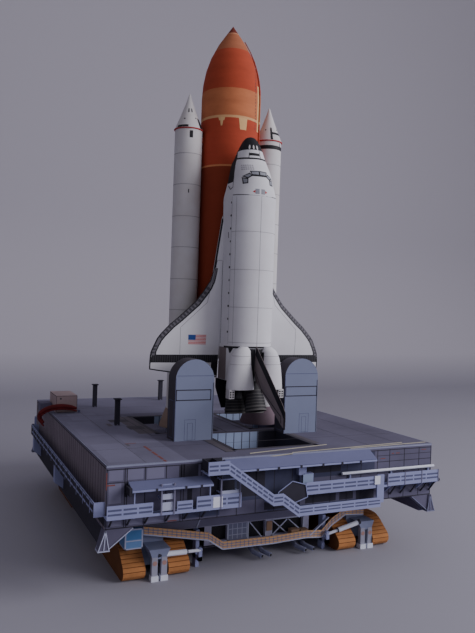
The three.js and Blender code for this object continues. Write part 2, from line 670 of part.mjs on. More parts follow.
/** A truck's frame between its belts, with jack feet, steering cylinder and leg at its outer end. */
function buildTruck(name, group, sign) {
  const [inner, outer] = [sign * (truckCentre.x - beltGap / 2), sign * (truckCentre.x + beltGap / 2)];
  const frame = box(inner, outer, -126, -61, 6, chassisFloor);
  const beam = box(inner + sign * 2, outer - sign * 2, -149.5, -125, 17, 25);
  const feet = [91.8, 99].flatMap((x) => [
    box(sign * (x - 2.6), sign * (x + 2.6), -150, -145, 0, 5),
    bar([sign * x, -147.5, 4], [sign * x, -147.5, 18], 2),
  ]);
  const [legInner, legOuter] = [sign * 59.5, sign * 62.5];
  const leg = [
    box(legInner, legOuter, -129, -chassisFront, 0, chassisFloor),
    box(legInner, legOuter, -136, -chassisFront, 7, 10.5),
    box(legInner, legOuter, -136, -133, 7, 17.5),
  ];
  const near = new THREE.Vector3(sign * 61, -134.5, 15.5);
  const far = new THREE.Vector3(sign * 91, -146.5, 19);
  const collar = near.clone().lerp(far, 0.42);
  const rod = bar(near.toArray(), far.toArray(), 1.3);
  const cylinder = bar(collar.toArray(), far.toArray(), 1.7);
  addPiece(name, join([frame, beam, ...feet, ...leg, rod, cylinder]), 'whiteCard', group);
}

/** A belt's side outline: a loop that slopes down to a low roller at each end, stepped for its shoes. */
function beltOutline() {
  const shoes = 32;
  const [half, high, step] = [beltLength / 2, beltHeight, 0.9];
  // Columns: distance from the middle, height
  const rows = [
    [half - 9, 0], [half - 3.5, 1.2], [half - 0.6, 4.4], [half, 8], [half - 1.6, 11.2], [half - 14, 20.6],
    [half - 19, 23.2], [half - 23, high],
  ];
  const mirrored = rows.map(([along, z]) => [-along, z]).reverse();
  const loop = new THREE.Path([...rows, ...mirrored].map(([along, z]) => new THREE.Vector2(along, z)));
  loop.closePath();
  const corners = loop.getSpacedPoints(shoes * 2).slice(0, -1);
  const middle = new THREE.Vector2(0, high / 2);
  return corners.flatMap((corner, i) => {
    const low = corner.clone().add(middle.clone().sub(corner).setLength(step));
    const pair = i % 2 === 0 ? [low, corner] : [corner, low];
    return pair.map((point) => [point.x, Math.max(point.y, 0)]);
  });
}

function buildBelts(end, group) {
  // Columns: name, lower x
  const [near, far] = [truckCentre.x - beltGap / 2 - beltWidth, truckCentre.x + beltGap / 2];
  const rows = [
    ['left_outer', -far - beltWidth], ['left_inner', -near - beltWidth],
    ['right_inner', near], ['right_outer', far],
  ];
  const outline = beltOutline().map(([y, z]) => [y - truckCentre.y, z]);
  for (const [name, x] of rows) {
    addPiece(`belt_${end}_${name}`, sidePrism(outline, x, x + beltWidth), 'beltCard', group);
  }
}

/** The yellow walkway across the crawler's end, with its short stairs. */
function buildWalkway(side, group) {
  // Columns: x, height of the floor
  const path = [
    [-105, 31.8], [-50, 21], [-37, 12], [10, 11.3], [42, 12.5], [58, 11.2], [68, 20.6], [82, 28.4], [102, 27],
  ];
  const outer = -131.4;
  const [railHeight, floorWidth, tie] = [6.6, 2, 1.2];
  const rail = band(path, 0, railHeight, outer, outer + card);
  const floor = band(path, 0, card, outer, outer + floorWidth);
  // Columns: x, height
  const ties = [[-49.2, 21.5], [-8, 13], [40, 13]].map(([x, z]) => (
    box(x, x + tie, outer, -chassisFront, z, z + tie)
  ));
  addPiece(`walkway_${side}`, join([rail, floor, ...ties]), 'yellowCard', group);
}

function buildCab(side, group) {
  addPiece(`cab_${side}`, box(-122, -108, -140, -124, 25, 40.5), 'greyCard', group);
}

buildTank();
buildCableTray();
buildFeedLine();
buildBoosters();
buildOrbiterBody();
buildWings();
buildFin();
buildPods();
buildEngines();
buildStruts();
buildPlatform();
buildMasts();
buildCabinet();
buildChassis();
for (const [side, group] of [['front', shuttle], ['back', halfTurn]]) {
  buildFaceLeft(side, group);
  buildFaceRight(side, group);
  buildStairs(side, group);
  buildWalkway(side, group);
  buildCab(side, group);
  buildBelts(side, group);
  buildTruck(`truck_${side}_left`, group, -1);
  buildTruck(`truck_${side}_right`, group, 1);
  buildCornerPedestal(`corner_pedestal_${side}_near`, group, -1);
  buildCornerPedestal(`corner_pedestal_${side}_far`, group, 1);
}
buildSideGangway('left', shuttle);
buildSideGangway('right', halfTurn);

export default shuttle;
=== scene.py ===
"""The looks of a printed-card space shuttle model at 1:144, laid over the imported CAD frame.

Shapes are worked out in millimetres in the frame of the CAD model. The orbiter's own places are in real
inches: station runs down from ahead of its nose, side runs to +X, and height is square to its belly.
"""
import math

import bmesh
import bpy
import numpy as np
from mathutils import Matrix, Vector


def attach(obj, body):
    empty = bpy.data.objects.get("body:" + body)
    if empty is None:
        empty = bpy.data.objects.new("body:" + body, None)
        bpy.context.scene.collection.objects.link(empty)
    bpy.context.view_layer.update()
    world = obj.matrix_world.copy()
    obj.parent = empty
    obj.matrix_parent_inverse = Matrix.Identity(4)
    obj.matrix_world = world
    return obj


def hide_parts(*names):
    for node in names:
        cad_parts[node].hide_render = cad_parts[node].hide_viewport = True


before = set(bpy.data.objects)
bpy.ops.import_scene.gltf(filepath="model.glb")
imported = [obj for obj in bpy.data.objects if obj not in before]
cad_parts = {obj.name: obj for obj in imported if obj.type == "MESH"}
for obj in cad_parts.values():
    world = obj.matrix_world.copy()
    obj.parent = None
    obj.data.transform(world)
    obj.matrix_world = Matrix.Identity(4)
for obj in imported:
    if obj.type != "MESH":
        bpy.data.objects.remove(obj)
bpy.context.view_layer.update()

MM = 0.001
# A real inch in millimetres of the model
INCH = 25.4 / 144
DECK_TOP = 97.0
# The tank's upright axis in x and y, and how far each booster stands to its side
AXIS = np.array([1.0, -30.6])
BOOSTER_OFFSET = 42.6
# In real inches: the stack's station at the deck, what turns the orbiter's own stations into the
# stack's, and the orbiter's own height at the tank's axis
DECK_STATION = 2533
ORBITER_SHIFT = 741
AXIS_HEIGHT = 63.5
# The platform's front and side faces, and the outer faces of the rails and stairs before them
FRONT, RAILS, STAIRS = -169.0, -178.0, -184.0
HULL_SIDE, SIDE_RAILS = -145.0, -153.0
SIDES = (("left", -1), ("right", 1))


# Shapes: a shape is a pair of arrays, its points in millimetres and its four-sided faces

def grid(points, loop=False):
    """Faces over a rectangular array of points; with loop, the first direction closes on itself."""
    rows, columns = points.shape[:2]
    numbers = np.arange(rows * columns).reshape(rows, columns)
    if loop:
        numbers = np.vstack([numbers, numbers[:1]])
    corners = [numbers[:-1, :-1], numbers[1:, :-1], numbers[1:, 1:], numbers[:-1, 1:]]
    return points.reshape(-1, 3), np.stack(corners, -1).reshape(-1, 4)


def merge(shapes):
    """Several shapes as one."""
    starts = np.cumsum([0] + [len(points) for points, _ in shapes[:-1]])
    faces = [corners + start for (_, corners), start in zip(shapes, starts)]
    return np.concatenate([points for points, _ in shapes]), np.concatenate(faces)


def lathe(profile, x, y, turns=96):
    """A turned skin about an upright axis; profile rows are radius and height, from the bottom up."""
    radius, height = np.array(profile, float).T
    angle = np.linspace(0, 2 * np.pi, turns, endpoint=False)[:, None]
    places = [x + radius * np.cos(angle), y + radius * np.sin(angle), height + 0 * angle]
    return grid(np.stack(places, -1), loop=True)


def closed(skin, first=True, last=True):
    """A skin that runs round in its first direction, with its end rings drawn in to their middles."""
    caps = [np.broadcast_to(skin[:, i].mean(0), skin[:, :1].shape) for i in (0, -1)]
    return grid(np.concatenate(caps[:1] * first + [skin] + caps[1:] * last, axis=1), loop=True)


def face_centres(shape):
    """The middle of each face of a shape."""
    points, faces = shape
    return points[faces].mean(1)


def boxed(corners):
    """Boxes, each from its eight corners; of its three directions, the last counts fastest."""
    sides = np.array([[0, 1, 3, 2], [4, 6, 7, 5], [0, 4, 5, 1], [2, 3, 7, 6], [0, 2, 6, 4], [1, 5, 7, 3]])
    faces = sides + 8 * np.arange(len(corners))[:, None, None]
    return corners.reshape(-1, 3), faces.reshape(-1, 4)


def slabs(rows):
    """Boxes, one for each row of x0, x1, y0, y1, z0, z1."""
    rows = np.atleast_2d(np.array(rows, float))
    picks = np.array([[i, 2 + j, 4 + k] for i in (0, 1) for j in (0, 1) for k in (0, 1)])
    return boxed(rows[:, picks])


def bars(rows, width, depth, across=(0, 1, 0)):
    """Straight bars, one for each row of x0, y0, z0, x1, y1, z1; width lies across, depth square to it."""
    rows = np.atleast_2d(np.array(rows, float))
    start, end = rows[:, :3], rows[:, 3:]
    along = end - start
    along /= np.linalg.norm(along, axis=1, keepdims=True)
    side = np.broadcast_to(np.array(across, float), along.shape)
    side = side - along * np.sum(side * along, 1, keepdims=True)
    side /= np.linalg.norm(side, axis=1, keepdims=True)
    deep = np.cross(along, side)
    corners = [place + i * side * width / 2 + j * deep * depth / 2
               for place in (start, end) for i in (-1, 1) for j in (-1, 1)]
    return boxed(np.stack(corners, 1))


def tube(path, radius, sides=14):
    """A round tube that follows a path of points, with radius one number or one for each point."""
    path = np.array(path, float)
    radius = np.broadcast_to(np.array(radius, float), len(path))
    along = np.gradient(path, axis=0)
    along /= np.linalg.norm(along, axis=1, keepdims=True)
    guide = np.where(np.abs(along[:, 2:]) < 0.9, [[0.0, 0.0, 1.0]], [[1.0, 0.0, 0.0]])
    side = np.cross(along, guide)
    side /= np.linalg.norm(side, axis=1, keepdims=True)
    lift = np.cross(side, along)
    angle = np.linspace(0, 2 * np.pi, sides, endpoint=False)[:, None, None]
    rings = path + radius[:, None] * (np.cos(angle) * side + np.sin(angle) * lift)
    caps = [np.broadcast_to(path[i], (sides, 1, 3)) for i in (0, -1)]
    return grid(np.concatenate([caps[0], rings, caps[1]], axis=1), loop=True)


def raised(surface, u, v, lift):
    """Points of a surface moved out along its normal, which comes from small steps to either side."""
    step = 0.05
    along = surface(u + step, v) - surface(u - step, v)
    across = surface(u, v + step) - surface(u, v - step)
    normal = np.cross(along, across)
    normal /= np.maximum(np.linalg.norm(normal, axis=-1, keepdims=True), 1e-9)
    return surface(u, v) + normal * lift[..., None]


def sheet(surface, u, v, lift=0.07):
    """A printed patch over arrays of u and v: it stands proud by lift, and its rim is pressed in."""
    u, v = (np.pad(part, 1, mode="edge") for part in (u, v))
    heights = np.full(u.shape, -0.03)
    heights[1:-1, 1:-1] = lift
    return grid(raised(surface, u, v, heights))


def patch(surface, corners, steps=(8, 8), lift=0.07):
    """A printed patch between four corners, each a pair u, v, given in order round it."""
    a, b, c, d = np.array(corners, float)
    s = np.linspace(0, 1, steps[0] + 1)[:, None, None]
    t = np.linspace(0, 1, steps[1] + 1)[None, :, None]
    places = (1 - s) * (1 - t) * a + s * (1 - t) * b + s * t * c + (1 - s) * t * d
    return sheet(surface, places[..., 0], places[..., 1], lift)


def panel(surface, u0, u1, v0, v1, steps=(8, 8), lift=0.07):
    """A printed patch between two values of u and two of v."""
    return patch(surface, [(u0, v0), (u1, v0), (u1, v1), (u0, v1)], steps, lift)


def ribbon(surface, path, width, scale=(1.0, 1.0), steps=6, lift=0.07):
    """A printed line along a path of u, v pairs; width and scale give real lengths from u and v."""
    path = np.array(path, float) * scale
    share = np.linspace(0, len(path) - 1, steps * (len(path) - 1) + 1)
    line = np.stack([np.interp(share, np.arange(len(path)), path[:, i]) for i in (0, 1)], -1)
    along = np.gradient(line, axis=0)
    along /= np.linalg.norm(along, axis=1, keepdims=True)
    aside = np.stack([-along[:, 1], along[:, 0]], -1) * width / 2
    places = np.stack([line + aside, line - aside]) / scale
    return sheet(surface, places[..., 0], places[..., 1], lift)


def lines(surface, paths, width, scale=(1.0, 1.0), steps=6, lift=0.07):
    """Several printed lines of one width on one surface."""
    return merge([ribbon(surface, path, width, scale, steps, lift) for path in paths])


def spot(surface, u, v, wide, high, lift=0.1):
    """A printed oval about u, v, with its half sizes in the units of u and v."""
    angle, share = np.meshgrid(np.linspace(0, 2 * np.pi, 17), [0.02, 0.5, 1.0], indexing="ij")
    return sheet(surface, u + wide * share * np.cos(angle), v + high * share * np.sin(angle), lift)


def smooth(x, places, values):
    """A smooth curve through values at places, with each slope taken from the neighbours."""
    places, values = np.array(places, float), np.array(values, float)
    slopes = np.gradient(values, places)
    x = np.clip(x, places[0], places[-1])
    i = np.clip(np.searchsorted(places, x, side="right") - 1, 0, len(places) - 2)
    gap = places[i + 1] - places[i]
    t = (x - places[i]) / gap
    rise = values[i + 1] - values[i]
    a, b = slopes[i] * gap - rise, rise - slopes[i + 1] * gap
    return values[i] + t * rise + t * (1 - t) * ((1 - t) * a + t * b)


def prints(rows, axis, level, outward=-1, proud=0.08):
    """Printed patches on a flat face square to an axis: rows are their spans along the other two axes."""
    rows = np.atleast_2d(np.array(rows, float))
    depth = np.sort([level - outward * 0.05, level + outward * proud])
    parts = [rows[:, :2], rows[:, 2:]]
    parts.insert(axis, np.broadcast_to(depth, (len(rows), 2)))
    return slabs(np.concatenate(parts, 1))


def borders(rows, width):
    """The four strips inside the rim of each oblong, as rows for prints."""
    strips = []
    for a0, a1, b0, b1 in rows:
        strips += [(a0, a1, b0, b0 + width), (a0, a1, b1 - width, b1)]
        strips += [(a0, a0 + width, b0, b1), (a1 - width, a1, b0, b1)]
    return strips


def row_of(places, width, low, high):
    """Strips of one width at several places, each from low to high, as rows for prints."""
    return [(place, place + width, low, high) for place in places]


def both_ends(*shapes):
    """Shapes on the front of the model, and the same turned half round for its back."""
    points, faces = merge(shapes)
    return merge([(points, faces), (points * [-1, -1, 1], faces)])


# Materials: every finish is matt printed card, seen by its mottled ink and paper fibre

def linear(colour):
    """An sRGB hex colour as linear red, green, blue and alpha."""
    channels = np.array([int(colour[i:i + 2], 16) / 255 for i in (1, 3, 5)])
    bright = np.where(channels <= 0.04045, channels / 12.92, ((channels + 0.055) / 1.055) ** 2.4)
    return (*bright.tolist(), 1.0)


def node(tree, kind, inputs=None, **settings):
    """Adds a shader node: settings are its properties, inputs give its sockets a value or a link."""
    made = tree.nodes.new("ShaderNode" + kind)
    for name, value in settings.items():
        setattr(made, name, value)
    for name, value in (inputs or {}).items():
        if isinstance(value, bpy.types.NodeSocket):
            tree.links.new(value, made.inputs[name])
        else:
            made.inputs[name].default_value = value
    return made


def mix(tree, factor, first, second):
    """A colour between two others; a mix node keeps its colours in inputs 6 and 7 and output 2."""
    return node(tree, "Mix", {"Factor": factor, 6: first, 7: second}, data_type="RGBA").outputs[2]


# The heights in mm between which a card's rings may lie
BAND_SPAN = (340.0, 490.0)


def card(name, colour, stain, roughness=0.82, amount=0.5, spread=55.0, stretch=(1, 1, 1), bands=None):
    """Matt printed card: its ink drifts from colour to stain, and fine fibres break up its surface.

    amount is how strong the stain is, and spread how fine its blots are. stretch draws them out along
    an axis, and bands, rows of height in mm and colour, replace the even colour by rings that follow
    the height.
    """
    material = bpy.data.materials.new(name)
    material.use_nodes = True
    tree = material.node_tree
    shader = tree.nodes["Principled BSDF"]
    shader.inputs["Roughness"].default_value = roughness
    shader.inputs["Specular IOR Level"].default_value = 0.28
    place = node(tree, "TexCoord").outputs["Object"]
    drawn = node(tree, "Mapping", {"Vector": place, "Scale": stretch}).outputs["Vector"]
    drift = node(tree, "TexNoise", {"Vector": drawn, "Scale": spread, "Detail": 5.0, "Roughness": 0.62})
    share = node(tree, "MapRange", {"Value": drift.outputs["Fac"], "From Min": 0.35, "From Max": 0.72,
                                    "To Min": 0.0, "To Max": amount})
    base = linear(colour)
    if bands:
        height = node(tree, "SeparateXYZ", {"Vector": place}).outputs["Z"]
        low, high = BAND_SPAN
        level = node(tree, "MapRange", {"Value": height, "From Min": low * MM, "From Max": high * MM})
        ramp = node(tree, "ValToRGB", {"Fac": level.outputs["Result"]})
        ramp.color_ramp.interpolation = "CONSTANT"
        stops = ramp.color_ramp.elements
        stops[0].color = linear(bands[0][1])
        stops.remove(stops[1])
        for foot, ring in bands[1:]:
            stops.new((foot - low) / (high - low)).color = linear(ring)
        base = ramp.outputs["Color"]
    inks = mix(tree, share.outputs["Result"], base, linear(stain))
    tree.links.new(inks, shader.inputs["Base Color"])
    fibre = node(tree, "TexNoise", {"Vector": place, "Scale": 1500.0, "Detail": 3.0})
    bump = node(tree, "Bump", {"Height": fibre.outputs["Fac"], "Strength": 0.12, "Distance": 0.00025})
    tree.links.new(bump.outputs["Normal"], shader.inputs["Normal"])
    return material


def add_object(name, data):
    """An object of a mesh, a camera or a lamp, put in the scene."""
    made = bpy.data.objects.new(name, data)
    bpy.context.scene.collection.objects.link(made)
    return made


def smooth_mesh(name, shape, material):
    """A shape as a smooth mesh in metres."""
    points, faces = shape
    mesh = bpy.data.meshes.new(name)
    mesh.from_pydata((points * MM).tolist(), [], faces.tolist())
    mesh.materials.append(material)
    mesh.polygons.foreach_set("use_smooth", np.ones(len(mesh.polygons), bool))
    return mesh


def piece(name, shape, material, replaces=(), crease=30, dark=None, pick=None):
    """A mesh that rides on the body, smooth but for edges that turn more than crease degrees.

    dark is a second material, for the faces that pick, an array of true and false, names.
    """
    mesh = smooth_mesh(name, shape, material)
    if dark:
        mesh.materials.append(dark)
        mesh.polygons.foreach_set("material_index", pick.astype(np.int32))
    work = bmesh.new()
    work.from_mesh(mesh)
    bmesh.ops.remove_doubles(work, verts=work.verts, dist=1e-6)
    bmesh.ops.recalc_face_normals(work, faces=work.faces)
    work.to_mesh(mesh)
    work.free()
    mesh.set_sharp_from_angle(angle=math.radians(crease))
    made = add_object(name, mesh)
    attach(made, "root")
    if replaces:
        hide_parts(*replaces)


# Columns: height in mm from which the tank's print has a colour, that colour
TANK_BANDS = [
    (0, "#8c3b26"), (343.3, "#d38a5e"), (345.2, "#b44a34"), (389.2, "#dcae7e"), (391.1, "#bf744e"),
    (417.1, "#b04a32"), (457.8, "#ad6a4c"), (476.0, "#c98f70"), (477.3, "#6e2f28"),
]
# Sprayed foam printed in rust and peach, whose bands change with the height
foam = card("printed_rust_foam", "#b24a2a", "#7c3320", 0.9, 0.3, 40.0, (1, 1, 3), TANK_BANDS)
# The paler foam that runs down from the bands, the same print in cream
cream = card("printed_cream_foam", "#ddb583", "#c79a68", 0.9, 0.5)
# White booster card, a little cream where the ink has dried unevenly
white = card("printed_white", "#cfced4", "#beb6b4", 0.8, 0.55, 30.0)
# White tile card of the orbiter, a trace cooler
tile = card("printed_tile_white", "#d6d6de", "#c4c0c8", 0.8, 0.5, 34.0)
# Black print, never quite black on paper. The same black is also painted shade: between the rear pods, low on
# the aft body's corners, and behind and beside the crawler's openings
black = card("black_print_and_painted_shade", "#1b1b22", "#2b2930", 0.62, 0.5)
# Grey print of panel lines and seams
line_grey = card("printed_line_grey", "#8f8d95", "#77757d", 0.8, 0.5)
# Darker greys of the tiles along the wings' edges
band_grey = card("printed_band_grey", "#6f6c75", "#57545e", 0.75, 0.5)
dark_grey = card("printed_dark_grey", "#45434c", "#33313a", 0.7, 0.5)
# The faint grey of small tile marks, and the blue-grey of window panes
pale_grey = card("printed_pale_grey", "#a9a7b0", "#98969f", 0.8, 0.5)
pane_grey = card("printed_pane_grey", "#8d8f9a", "#787a88", 0.5, 0.5)
# White card darkened to a browner tone as painted shade, on the sides of the fin and down the rear of the
# body's sides, which lie in shade
shade_white = card("white_card_painted_shade", "#83787c", "#6f6468", 0.8, 0.5)
# Blue and red of the striped panel on the left wing
canton_blue = card("printed_canton_blue", "#2f4d92", "#28427e", 0.8, 0.4)
stripe_red = card("printed_stripe_red", "#c8504a", "#b34642", 0.8, 0.4)
# Red print of the rings on the boosters and the points by the roof windows
red = card("printed_red", "#b23a3a", "#8f2f2f", 0.8, 0.5)
# Brown card of the booster skirts; the right one's is a darker, pinker copy, painted shade cast by the tail
# mast
skirt_brown = card("printed_skirt_brown", "#968279", "#75615a", 0.85, 0.6, 30.0)
skirt_painted_shade = card("skirt_brown_painted_shade", "#7c6a76", "#61525c", 0.85, 0.6, 30.0)
# Near-black card of the engines, and the pale rings printed round them
bell_black = card("printed_bell_black", "#26262b", "#3a383c", 0.6, 0.6)
bell_ring = card("printed_bell_ring", "#5d5b5c", "#474546", 0.7, 0.6)

# Blue-grey card of the platform's walls, the masts and the rails, and the slate print of the deck
hull_blue = card("printed_hull_blue", "#625f78", "#524f63", 0.85, 0.6, 26.0)
mast_blue = card("printed_mast_blue", "#7b829d", "#6f7690", 0.85, 0.5, 26.0)
rail_blue = card("printed_rail_blue", "#9297c0", "#7f83a8", 0.85, 0.5)
deck_slate = card("printed_deck_slate", "#67647b", "#504d60", 0.85, 0.8, 14.0)
# Darker and paler prints on the platform: its panel lines, openings, edges and awnings. Some also stand for
# light: the darkest is painted shade inside the stairs' landing and on the shaded walls of the wells, the
# dark hull blue is painted shade across the middle of the hull's ends, the panel blue is painted shade on the
# crawler's upper edge, and the pale well blue is painted light on the lit walls of the wells
shade_blue = card("dark_blue_print_and_painted_shade", "#34323f", "#282631", 0.85, 0.5)
slot_blue = card("printed_slot_blue", "#585b7c", "#4b4d6a", 0.85, 0.5)
hull_shade_blue = card("hull_blue_print_and_painted_shade", "#444661", "#393b52", 0.85, 0.6)
edge_blue = card("printed_edge_blue", "#b4b8d2", "#9fa3bd", 0.85, 0.4)
rim_blue = card("printed_rim_blue", "#8d90aa", "#7c7f98", 0.85, 0.5)
panel_blue = card("panel_blue_print_and_painted_shade", "#7a7892", "#6c6a82", 0.85, 0.6, 26.0)
awning_blue = card("printed_awning_blue", "#6b6e92", "#5c5f7f", 0.85, 0.5, 30.0)
lattice_blue = card("printed_lattice_blue", "#7c7f9c", "#6d708c", 0.85, 0.5)
well_blue = card("pale_blue_print_and_painted_light", "#919ebd", "#7f8aa8", 0.85, 0.5, 26.0)
# Prints of the deck: its dark bands, whose dark is also painted shade round the masts, and brown and pale
# patches; and a paler slate on wide fields to the left and far away, painted light where more light falls
deck_dark = card("deck_dark_print_and_painted_shade", "#4a4650", "#3c3842", 0.85, 0.6)
deck_brown = card("printed_deck_brown", "#5f5963", "#514b55", 0.85, 0.6)
deck_pale = card("printed_deck_pale", "#77758d", "#67657b", 0.85, 0.6, 20.0)
lit_slate = card("pale_slate_painted_light", "#74728a", "#615f74", 0.85, 0.8, 14.0)
# A paler, browner tone on the hull's long sides than on its ends, painted light that lifts their shade; and
# the red and cream lines
side_brown = card("hull_side_card_painted_light", "#857a86", "#6a616c", 0.85, 0.7, 22.0)
line_red = card("printed_line_red", "#834c49", "#6c4545", 0.85, 0.7)
line_cream = card("printed_line_cream", "#a8a393", "#938e80", 0.85, 0.5)
# Rolled tan card of the struts, tan print of the cabinet, and red card of its duct
strut_tan = card("rolled_strut_tan", "#a0826c", "#7c6454", 0.85, 0.5)
cabinet_tan = card("printed_cabinet_tan", "#ab979a", "#907f84", 0.85, 0.6)
duct_red = card("rolled_duct_red", "#66191e", "#451418", 0.75, 0.6, 90.0)
# Crawler: its pale frame, yellow walkways with grey lines, and orange-brown belts with dark gaps
chassis_grey = card("printed_chassis_grey", "#b3b0cb", "#9996b2", 0.85, 0.6)
walk_yellow = card("printed_walk_yellow", "#d6a878", "#bb977a", 0.85, 0.6)
walk_grey = card("printed_walk_grey", "#8d8ba4", "#7e7c94", 0.85, 0.5)
belt_orange = card("printed_belt_orange", "#bf8150", "#99683f", 0.88, 0.7, 70.0)
belt_dark = card("printed_belt_dark", "#74492a", "#573621", 0.88, 0.6)
# Plain white card, the slate card of the trucks, and the prints of their jack feet
plain_white = card("plain_white_card", "#dfe2f2", "#c4c6d8", 0.8, 0.5)
truck_slate = card("printed_truck_slate", "#848aa8", "#6c718d", 0.85, 0.6)
foot_grey = card("printed_foot_grey", "#9d9db0", "#7f7f92", 0.85, 0.6)
foot_pink = card("printed_foot_pink", "#a98480", "#8c6c6c", 0.85, 0.5)
# Blue card of the cabs, and their windows
cab_blue = card("printed_cab_blue", "#6e91c3", "#5f80ae", 0.8, 0.5)
cab_window = card("printed_cab_window", "#4d80b8", "#4270a2", 0.6, 0.5)


# Stack: the tank and the boosters

def stack_height(station):
    """Height above the floor of a station of the stack, in real inches."""
    return DECK_TOP + (DECK_STATION - np.asarray(station, float)) * INCH


def stack_station(z):
    """The station of the stack at a height above the floor."""
    return DECK_STATION - (np.asarray(z, float) - DECK_TOP) / INCH


# The tank in real inches: the stations and radii of its cap and ogive, the radius of its barrel, and
# the station and depth of its domed end
OGIVE_STATIONS = [329, 334, 371, 440, 518, 592, 668, 745]
OGIVE_RADII = [1, 4, 30, 77, 117, 142, 156, 161]
BARREL_RADIUS = 161
DOME_START, DOME_DEPTH = 2058, 115
# Columns: station of a fitting between the tank and a booster, its place along y and thickness in mm
FITTINGS = [(985, 0, 4.8), (2040, 0, 2.4), (2040, 9, 2.0), (2040, -9, 2.0)]
# The length in mm of a degree round the tank and of a millimetre up it
TANK_SCALE = (28.4 * math.pi / 180, 1)


def tank_radius(z):
    """The tank's radius at a height: a pointed cap, an ogive of rolled rings, a barrel, a domed end."""
    station = stack_station(z)
    ogive = np.interp(station, OGIVE_STATIONS, OGIVE_RADII)
    dome = BARREL_RADIUS * np.sqrt(np.clip(1 - ((station - DOME_START) / DOME_DEPTH) ** 2, 0, 1))
    return np.where(station > DOME_START, dome, ogive) * INCH


def tank_point(angle, z):
    """A point of the tank's side, by its angle in degrees about the axis and its height."""
    turn, radius = np.radians(angle), tank_radius(z)
    return np.stack([AXIS[0] + radius * np.cos(turn), AXIS[1] + radius * np.sin(turn), z + 0 * turn], -1)


def build_tank():
    """The foam skin with its booster fittings, cream drips below its bands, and a dashed line."""
    dome = stack_height(DOME_START + DOME_DEPTH * np.sin(np.linspace(np.pi / 2, 0, 14)))
    arc = stack_height(np.linspace(745, 371, 34))
    heights = np.concatenate([dome, arc, stack_height([352, 334, 329])])
    profile = [(float(tank_radius(z)), z) for z in heights] + [(0.0, heights[-1])]
    shapes = [lathe([(0.0, heights[0])] + profile[1:], *AXIS, 128)]
    for station, away, thick in FITTINGS:
        y, z = AXIS[1] + away, float(stack_height(station))
        ends = [(AXIS[0] + sign * 26, y, z, AXIS[0] + sign * 35, y, z) for sign in (-1, 1)]
        shapes.append(bars(ends, thick, thick))
    piece("tank_foam", merge(shapes), foam, ["tank_body"])
    drips = [
        [(-137, 389.6), (-123, 389.6), (-125, 386.4), (-135, 386.4)],
        [(-133, 386.8), (-127, 386.8), (-128.5, 381.5), (-131.5, 381.5)],
        [(-97, 389.6), (-79, 389.6), (-81, 378.6), (-94, 378.6)],
        [(43, 389.6), (57, 389.6), (55, 380.4), (45, 380.4)],
        [(83, 389.6), (101, 389.6), (98, 378.6), (86, 378.6)],
    ]
    marks = [patch(tank_point, drip, (8, 4)) for drip in drips]
    marks.append(panel(tank_point, -48.5, -41, 381, 425, (6, 20)))
    piece("tank_drips", merge(marks), cream)
    run = np.array([(-25, 466), (-28, 457), (-46, 438), (-57, 424), (-56, 382)], float)
    places = np.arange(382.0, 466, 3.1)
    angles = np.interp(places, run[::-1, 1], run[::-1, 0])
    dashes = [[(angle, z), (angle, z + 1.7)] for angle, z in zip(angles, places)]
    piece("tank_line", ribbon(tank_point, run, 0.5, TANK_SCALE), foam)
    piece("tank_dashes", lines(tank_point, dashes, 0.8, TANK_SCALE, 2, 0.1), dark_grey)


# Columns: station and radius down a booster in real inches, from its tip over the step of its cone to
# the flare of its skirt
BOOSTER_ROWS = np.array([
    (744, 3), (755, 7), (775, 13), (820, 29), (880, 52), (938.2, 76.8), (939.9, 76.8), (940, 74),
    (2436, 74), (2436.1, 77), (2520, 108), (2533, 108),
], float)
CASE_RADIUS, FLARE_RADIUS, FOOT_RADIUS = 74 * INCH, 77 * INCH, 108 * INCH


def booster_radius(z):
    """A booster's radius at a height."""
    return np.interp(stack_station(z), *BOOSTER_ROWS.T) * INCH


def booster_surface(sign):
    """The side of a booster as a function of angle in degrees and height."""
    x = AXIS[0] + sign * BOOSTER_OFFSET

    def place(angle, z):
        turn, radius = np.radians(angle), booster_radius(z)
        return np.stack([x + radius * np.cos(turn), AXIS[1] + radius * np.sin(turn), z + 0 * turn], -1)

    return place


# Bars round a booster's cone: first and last angle in degrees, lower and upper height
LEFT_BARS = [
    (-119, -109, 393.6, 397.6), (-94, -85, 393.8, 397.6), (-163, -112, 378.5, 380.6),
    (-106, -92, 368.6, 375.2), (-105, -101, 317, 320.4), (-58, -27, 378.6, 388.4), (20, 70, 378.5, 380.6),
]
RIGHT_BARS = [
    (-107, -96, 378.6, 391.5), (-96, -18, 384.4, 386.8), (0, 360, 369.2, 373), (-58, -53, 373, 376.4),
    (60, 71, 378.6, 391.5), (71, 140, 384.4, 386.8),
]
# Columns: side, its direction along x, the skirt's finish (painted shade on the right one), the bars, and the
# dots by angle and height
BOOSTERS = [
    ("left", -1, skirt_brown, LEFT_BARS, [(-135, 387), (-69, 388)]),
    ("right", 1, skirt_painted_shade, RIGHT_BARS, [(-136, 389), (-50, 390)]),
]
# Heights of the seams between a booster's segments
SEAM_HEIGHTS = (354.1, 325.2, 295.4, 266.4, 236.5, 207.5, 178.5, 149.5)


def booster_marks(surface, bars_round, dots):
    """Black bars and dots printed round a booster's cone and just below it."""
    shapes = [panel(surface, *bar, (max(2, int(abs(bar[1] - bar[0]) / 4)), 3)) for bar in bars_round]
    return shapes + [spot(surface, angle, z, 4.5, 0.65) for angle, z in dots]


